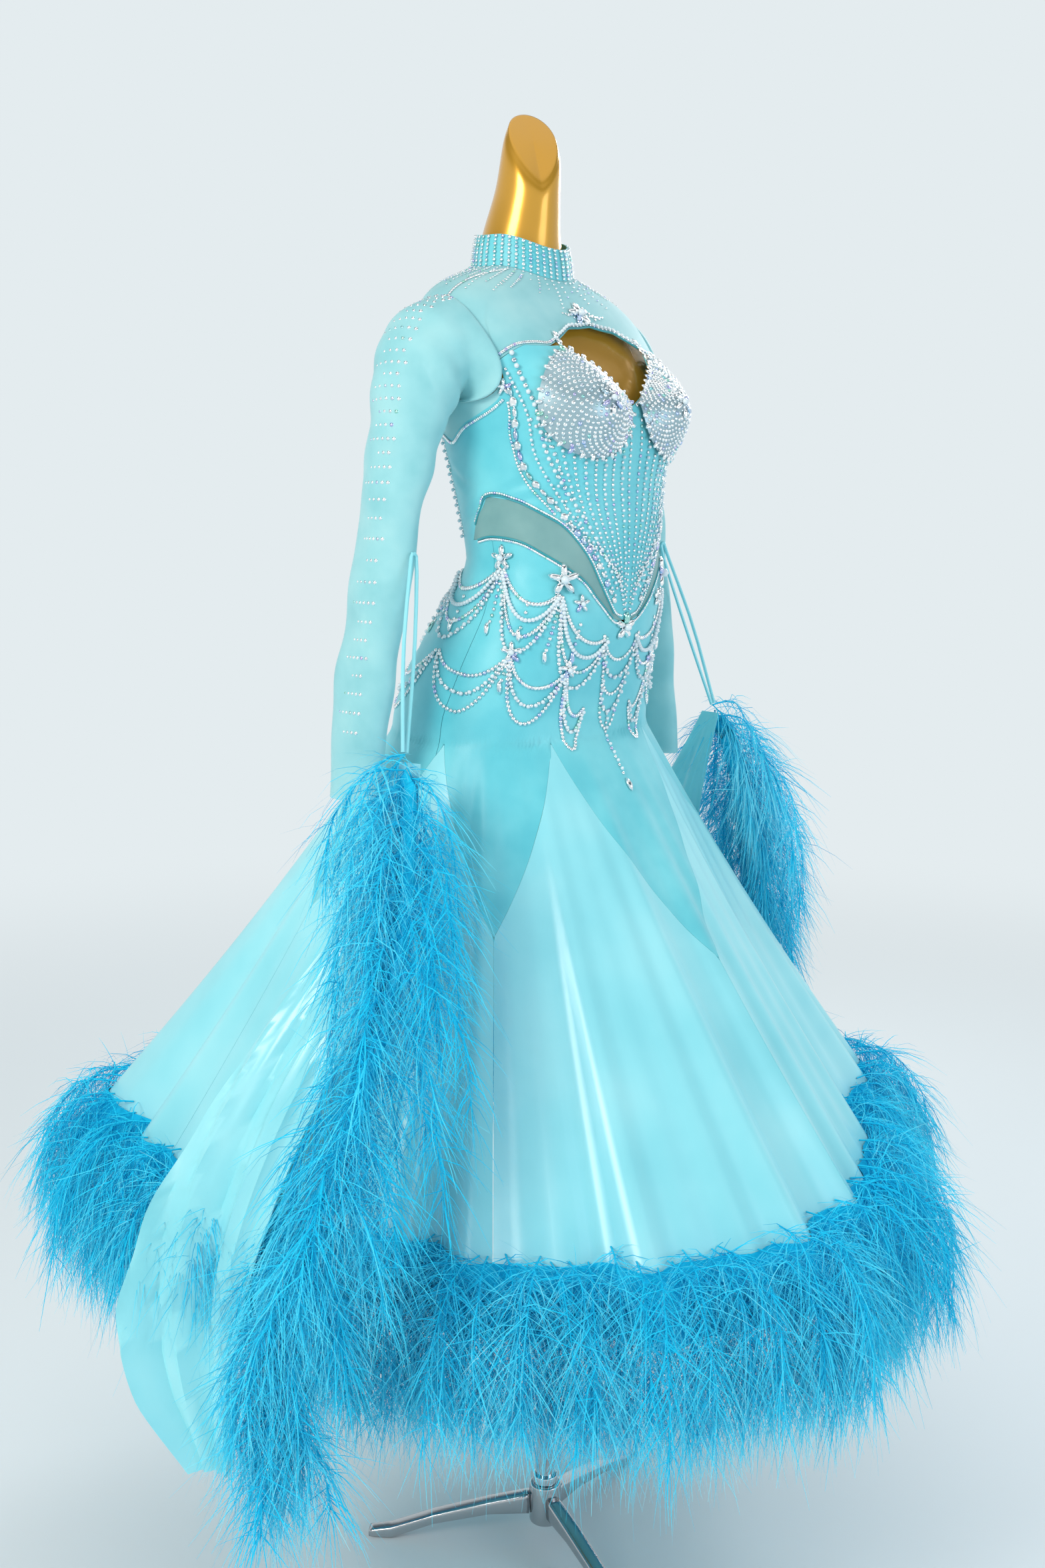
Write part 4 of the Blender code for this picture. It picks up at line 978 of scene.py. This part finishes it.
def cup_point(side, turn, share):
    """Points and normals of a cup's dome by the turn round its middle and the share out to its edge."""
    middle_x, middle_z, widest = 0.070, 1.487, 0.060
    corner, point = (0.084, 1.551), (0.004, 1.487)
    edge_x, edge_z = corner[0] - point[0], corner[1] - point[1]
    length = math.hypot(edge_x, edge_z)
    inward = (-edge_z / length, edge_x / length)
    distance = (corner[0] - middle_x) * inward[0] + (corner[1] - middle_z) * inward[1]
    dx, dz = np.cos(turn), np.sin(turn)
    toward = dx * inward[0] + dz * inward[1]
    cut = (distance - 0.001) / np.maximum(toward, 1e-6)
    radius = np.where(toward > 1e-6, np.minimum(widest, cut), widest)
    points, normals = on_front(side * (middle_x + dx * radius * share), middle_z + dz * radius * share)
    rise = CUP_LIFT + 0.002 + 0.008 * (1 - np.clip(share, 0, 1) ** 2.4)
    return points + normals * np.asarray(rise)[:, None], normals


def make_cups():
    """Two domes crusted with stones that grow towards the middle, each with a pearl flower."""
    for side, tag in ((-1, "r"), (1, "l")):
        def place(u, v, side=side):
            turn = 2 * np.pi * (u if side > 0 else 1 - u)
            return cup_point(side, turn, 1.0 - 0.98 * v)[0]

        obj = grid(64, 16, place, 0.0012, closed=True)
        ready(obj, f"cup_net_{tag}", CRUST, f"cup_{tag}")
        count = 460
        order = np.arange(count)
        turn = order * math.radians(137.508)
        share = np.sqrt((order + 0.5) / count) * 0.97
        points, normals = cup_point(side, turn, share)
        ahead, _ = cup_point(side, turn + 0.02, share)
        sizes = np.array((0.0021, 0.0025, 0.0019, 0.0028, 0.0023))[order % 5]
        for shape, chosen in (("round", order % 3 != 0), ("chip", order % 3 == 0)):
            lay("cup", shape, points[chosen] - normals[chosen] * 0.0003, normals[chosen],
                (ahead - points)[chosen], sizes[chosen], 1.0, 0.12)
        turn = 2 * np.pi * np.arange(30) / 30
        points, normals = cup_point(side, turn, np.full(30, 0.99))
        middle, _ = cup_point(side, turn, np.full(30, 0.9))
        lay("cup", "pear", points + normals * 0.0008, normals, points - middle, 0.0044, 1.2, 0.12)
        for petal in range(6):
            turn = np.array([2 * np.pi * petal / 6 + 0.4 * side])
            points, normals = cup_point(side, turn, np.array([0.16]))
            centre, _ = cup_point(side, turn, np.array([0.01]))
            lay("cup", "pear", points + normals * 0.0012, normals, points - centre, 0.0046, 1.5)
        centre, normal = cup_point(side, np.array([0.0]), np.array([0.0]))
        lay("cup", "pearl", centre + normal * 0.0006, normal, np.array([[1.0, 0, 0]]), 0.0042)


def make_collar_stones():
    """Upright rows of stones round the collar, with short drips under them."""
    for k in range(40):
        u = np.array([(k + 0.5) / 40])
        for j in range(8):
            v = np.array([0.06 + 0.125 * j])
            p = collar_point(u, v, 0.0012)
            a = 2 * np.pi * u
            normal = np.stack((np.sin(a), -np.cos(a), 0 * a), -1)
            lay("collar", "round" if j % 2 else "chip", p, normal, np.array([[0, 0, 1.0]]),
                0.0023 if j % 2 else 0.0018)
        angle = 9.0 * (k + 0.5)
        length = (0.010, 0.024, 0.014, 0.034, 0.018)[k % 5]
        if abs(wrapped(angle)) > 8 or length < 0.03:
            lay_line("collar", ((angle, 1.629), (angle, 1.629 - length * 0.5), (angle, 1.629 - length)),
                     max(2, int(length / 0.0040)), 0.0018, ("chip",), taper=0.75)
    for side in (-1, 1):
        for row in range(9):
            first = 50 + 8.5 * row
            low = (1.596, 1.584, 1.592, 1.578)[row % 4]
            keys = mirrored(side, ((first, 1.622), (first + 1, (1.622 + low) / 2), (first + 2, low)))
            lay_line("collar", keys, 10, 0.0018, ("chip", "round"), taper=0.8)
        keys = mirrored(side, ((66, 1.626), (78, 1.604), (84, 1.582), (86, 1.568)))
        lay_line("collar", keys, 24, 0.0022, ("round", "chip"))


def make_bodice_stones():
    """Fans of stones and pearls that run together to the waist's point, and edged panels."""
    for side in (-1, 1):
        starts = ((3, 1.470), (8, 1.446), (14, 1.430), (20, 1.424), (26, 1.424), (33, 1.427), (40, 1.433),
                  (47, 1.441), (54, 1.452), (60, 1.468))
        for k, (a, level) in enumerate(starts):
            end = 1.246 + 0.006 * k
            bow = 0.30 + 0.02 * k
            keys = ((side * a, level), (side * a * (0.96 - 0.02 * k), level - 0.055),
                    (side * a * bow * 1.6, end + 0.060), (side * (1.0 + 0.75 * k), end))
            shapes = ("chip", "pearl") if k % 2 else ("round", "chip", "chip")
            lay_line("bodice", keys, 34 - k, 0.0024, shapes, taper=0.72)
        for keys, count, size, shapes, stretch, taper in (
                (((64, 1.494), (69, 1.450), (65, 1.412), (48, 1.370), (26, 1.316), (9, 1.264)),
                 24, 0.0054, ("pear", "round"), 1.3, 0.7),
                (((60, 1.512), (61, 1.470), (60, 1.430), (47, 1.384), (27, 1.326), (9, 1.270)),
                 54, 0.0023, ("chip", "pearl"), 1.0, 0.8),
                (((53, 1.526), (56, 1.484), (55, 1.438), (42, 1.388), (23, 1.330), (8, 1.278)),
                 40, 0.0034, ("pearl", "round"), 1.0, 0.65),
                (((68, 1.484), (72, 1.446), (66, 1.402), (50, 1.364)),
                 36, 0.0020, ("chip", "round"), 1.0, 1.0)):
            lay_line("bodice", mirrored(side, keys), count, size, shapes, stretch, taper)
        lay_line("bodice", along_edge(side, BODICE_TOP, (70, 81, 95, 108, 119, 128), -0.004),
                 50, 0.0022, ("round", "chip"))
        lay_line("bodice", mirrored(side, ((128.5, 1.458), (128.5, 1.400), (128.5, 1.337))),
                 28, 0.0025, ("round", "pearl"))
        lay_line("bodice", along_edge(side, BODICE_TOP, (2, 8, 14, 20, 25), -0.003),
                 22, 0.0025, ("round", "chip"))
        lay_line("bodice", along_edge(side, YOKE_EDGE, (0.8, 8, 14, 20, 26), 0.003),
                 24, 0.0026, ("round", "pearl"))
        lay_line("bodice", along_edge(side, YOKE_EDGE, (26, 31, 38, 48, 59), 0.003),
                 28, 0.0023, ("round", "chip"))
        p, n = surface(np.array([side * 25.0] * 3), np.array([1.556, 1.548, 1.541]), 0.0008)
        lay("bodice", "pear", p, n, np.array([[0, 0, 1.0]] * 3), 0.0050, 1.4)
        for rows, shift in ((BODICE_BOTTOM, 0.003), (HIP_TOP, -0.003)):
            keys = along_edge(side, rows, (3, 8, 20, 31, 44, 58, 73, 90, 102), shift)
            lay_line("bodice", keys, 90, 0.0019, ("chip",))
    for k in range(3):
        keys = ((-15 + 4 * k, 1.588 - 0.001 * k), (0, 1.590 + 0.006 * k), (15 - 4 * k, 1.588 - 0.001 * k))
        lay_line("bodice", keys, 15 - 3 * k, 0.0017, ("round",))
    flower(-3, 1.590, 0.0070)
    flower(66, 1.497, 0.0040)
    flower(-66, 1.497, 0.0040)


def flower(angle, level, size, petals=5):
    """A flower of pear stones round a pearl."""
    p, n = spot(angle, level, 0.0008)
    right = np.cross(n[0], (0, 0, 1.0))
    right /= np.linalg.norm(right)
    up = np.cross(right, n[0])
    for k in range(petals):
        turn = 2 * np.pi * k / petals + 0.3
        heading = right * math.cos(turn) + up * math.sin(turn)
        lay("bodice", "pear", p[0] + heading * size * 1.35, n[0], heading, size, 1.25)
    lay("bodice", "pearl", p[0] + n[0] * 0.001, n[0], right, size * 0.75)


def make_hip_stones():
    """Swags with drops over the hips, loops on the front point and a pendant under them."""
    for side in (-1, 1):
        knots = ((8, 1.222), (44, 1.276), (86, 1.306), (132, 1.300), (176, 1.270))
        for start, end in zip(knots, knots[1:]):
            for row in range(4):
                shapes = (("round", "chip"), ("pearl",), ("chip", "round"), ("pearl", "round"))[row]
                lay_line("hip", swag(side, start, end, 0.026 + 0.019 * row), 23 + 4 * row,
                         0.0031 - 0.0001 * row, shapes)
        lower = ((13, 1.140), (28, 1.184), (64, 1.206), (108, 1.210), (154, 1.190))
        for start, end in zip(lower, lower[1:]):
            for row in range(3):
                lay_line("hip", swag(side, start, end, 0.028 + 0.021 * row), 23 + 3 * row, 0.0028,
                         ("pearl", "chip") if row % 2 else ("round",))
        for angle, level, length in ((64, 1.262, 0.026), (28, 1.238, 0.030), (44, 1.262, 0.052),
                                     (86, 1.292, 0.050), (64, 1.206, 0.030), (108, 1.268, 0.026),
                                     (132, 1.286, 0.050), (154, 1.254, 0.026)):
            keys = [(side * angle, low) for low in (level, level - length / 2, level - length)]
            lay_line("hip", keys, int(length / 0.0056), 0.0026, ("round", "chip"))
            p, n = spot(side * angle, level - length - 0.008, 0.0006)
            lay("hip", "pear", p, n, np.array([[0, 0, -1.0]]), 0.0054, 1.6)
        for angle, level, size in ((44, 1.290, 0.0078), (30, 1.262, 0.0046), (86, 1.314, 0.0062),
                                   (28, 1.186, 0.0050), (64, 1.208, 0.0054)):
            flower(side * angle, level, size)
    for row in range(5):
        half = 11 - 1.4 * row
        level = 1.222 - 0.016 * row
        low = level - 0.020 - 0.004 * row
        keys = ((-half, level), (-half * 0.6, low), (0, level - 0.030 - 0.005 * row), (half * 0.6, low),
                (half, level))
        lay_line("hip", keys, 20, 0.0028, ("round", "pearl") if row % 2 else ("round", "chip"))
    lay_line("hip", ((0, 1.126), (0, 1.09), (0, 1.056)), 15, 0.0024, ("round", "pearl"))
    p, n = spot(0, 1.043, 0.0006)
    lay("hip", "pear", p, n, np.array([[0, 0, -1.0]]), 0.0062, 1.5)
    flower(0, 1.232, 0.0072)


def make_sleeve_stones():
    """Short level rows of stones down each sleeve's outer side."""
    for side in (-1, 1):
        for row in range(36):
            v = 0.985 - 0.9 * (row / 35) ** 0.94
            count = (4, 6, 3, 5, 6, 4)[row % 6]
            u = (np.arange(count) - (count - 1) / 2) * 0.026 + 0.012 * math.sin(2.1 * row)
            values = np.full(count, v)
            p = sleeve_point(side, u % 1.0, values, 0.0003)
            inner = sleeve_point(side, u % 1.0, values, -0.0097)
            ahead = sleeve_point(side, (u + 0.01) % 1.0, values, 0.0003)
            lay("sleeve", "round" if row % 3 else "chip", p, p - inner, ahead - p,
                np.linspace(0.0027, 0.0019, count))


def make_piping():
    """Narrow teal piping along both edges of the waist's mesh and round the keyhole."""
    lines = []
    for side in (-1, 1):
        for rows in (BODICE_BOTTOM, HIP_TOP):
            lines.append(along_edge(side, rows, (8, 20, 31, 44, 58, 73, 90, 102.5)))
        lines.append(along_edge(side, YOKE_EDGE, (0, 7, 14, 20, 26)))
    rings = 90
    for number, keys in enumerate(lines, 1):
        fine = curve_through(keys, rings)
        middle, normal = surface(fine[:, 0], fine[:, 1], 0.0004)
        heading = np.gradient(middle, axis=0)
        heading /= np.linalg.norm(heading, axis=1, keepdims=True)
        across = np.cross(normal, heading)

        def place(u, v, middle=middle, normal=normal, across=across):
            k = np.rint(u * (rings - 1)).astype(int)
            turn = 2 * np.pi * v[:, None]
            return middle[k] + (normal[k] * np.cos(turn) + across[k] * np.sin(turn)) * 0.0012

        obj = grid(rings - 1, 8, place, closed=True)
        ready(obj, f"piping_{number}", PIPING)


def light(name, place, target, size, power_w, colour):
    data = bpy.data.lights.new(name, "AREA")
    data.shape = "DISK"
    data.size = size
    data.energy = power_w
    data.color = srgb(colour)[:3]
    obj = bpy.data.objects.new(name, data)
    obj.location = place
    obj.rotation_euler = (Vector(target) - Vector(place)).to_track_quat("-Z", "Y").to_euler()
    bpy.context.scene.collection.objects.link(obj)


def make_stage():
    """A pale floor that fades into the backdrop, soft lights, and the camera at the photo's angle."""
    pale = "#E4ECEF"
    bpy.ops.object.select_all(action="DESELECT")
    bpy.ops.mesh.primitive_plane_add(size=40)
    floor = bpy.context.object
    floor.name = "floor"
    made, tree, shader = material("pale_floor", pale, Roughness=0.6)
    place = add_node(tree, "ShaderNodeTexCoord").outputs["Object"]
    length = add_node(tree, "ShaderNodeVectorMath", operation="LENGTH")
    fade = add_node(tree, "ShaderNodeMapRange", {"From Min": 1.2, "From Max": 4.5},
                    interpolation_type="SMOOTHSTEP")
    glow = add_node(tree, "ShaderNodeEmission", {"Color": srgb(pale), "Strength": 1.0})
    mix = add_node(tree, "ShaderNodeMixShader")
    output = tree.nodes["Material Output"]
    tree.links.new(place, length.inputs[0])
    tree.links.new(length.outputs["Value"], fade.inputs["Value"])
    tree.links.new(fade.outputs["Result"], mix.inputs["Fac"])
    tree.links.new(shader.outputs["BSDF"], mix.inputs[1])
    tree.links.new(glow.outputs["Emission"], mix.inputs[2])
    tree.links.new(mix.outputs["Shader"], output.inputs["Surface"])
    floor.data.materials.append(made)

    world = bpy.data.worlds.new("studio")
    bpy.context.scene.world = world
    world.use_nodes = True
    sky = world.node_tree
    background = sky.nodes["Background"]
    ray = add_node(sky, "ShaderNodeTexCoord").outputs["Generated"]
    height = add_node(sky, "ShaderNodeSeparateXYZ")
    sky.links.new(ray, height.inputs["Vector"])
    stops = ((0.0, pale), (0.36, pale), (0.48, "#5E6C74"), (0.62, "#4E5A62"), (0.78, "#F4F8FA"),
             (1.0, "#FFFFFF"))
    sky.links.new(ramp(sky, height.outputs["Z"], stops), background.inputs["Color"])
    background.inputs["Strength"].default_value = 1.0

    axis = Vector(AXIS)
    toward = Vector((-0.788, -0.616, 0.0))
    right = Vector((0.616, -0.788, 0.0))
    target = axis + Vector((0, 0, 1.1))
    light("key", axis + toward * 2.4 - right * 1.7 + Vector((0, 0, 2.5)), target, 1.2, 52, "#FFF9F0")
    light("fill", axis + toward * 1.6 + right * 2.6 + Vector((0, 0, 1.6)), target, 1.6, 18, "#EAF4FF")
    light("rim", axis - toward * 2.2 + right * 1.2 + Vector((0, 0, 2.4)), target, 1.0, 26, "#FFFFFF")

    data = bpy.data.cameras.new("photo_camera")
    data.lens = 40.0
    data.sensor_width = 36.0
    data.shift_x = -0.0145
    camera = bpy.data.objects.new("photo_camera", data)
    camera.location = axis + toward * 2.13 + Vector((0, 0, 1.40))
    pitch = math.radians(9.85)
    heading = -toward * math.cos(pitch) - Vector((0, 0, math.sin(pitch)))
    camera.rotation_euler = heading.to_track_quat("-Z", "Y").to_euler()
    bpy.context.scene.collection.objects.link(camera)
    bpy.context.scene.camera = camera
    bpy.context.scene.view_settings.view_transform = "Standard"


make_form()
make_stand()
make_cloth()
make_cups()
make_collar_stones()
make_bodice_stones()
make_hip_stones()
make_sleeve_stones()
join_ornaments()
make_piping()
make_feathers()
make_stage()
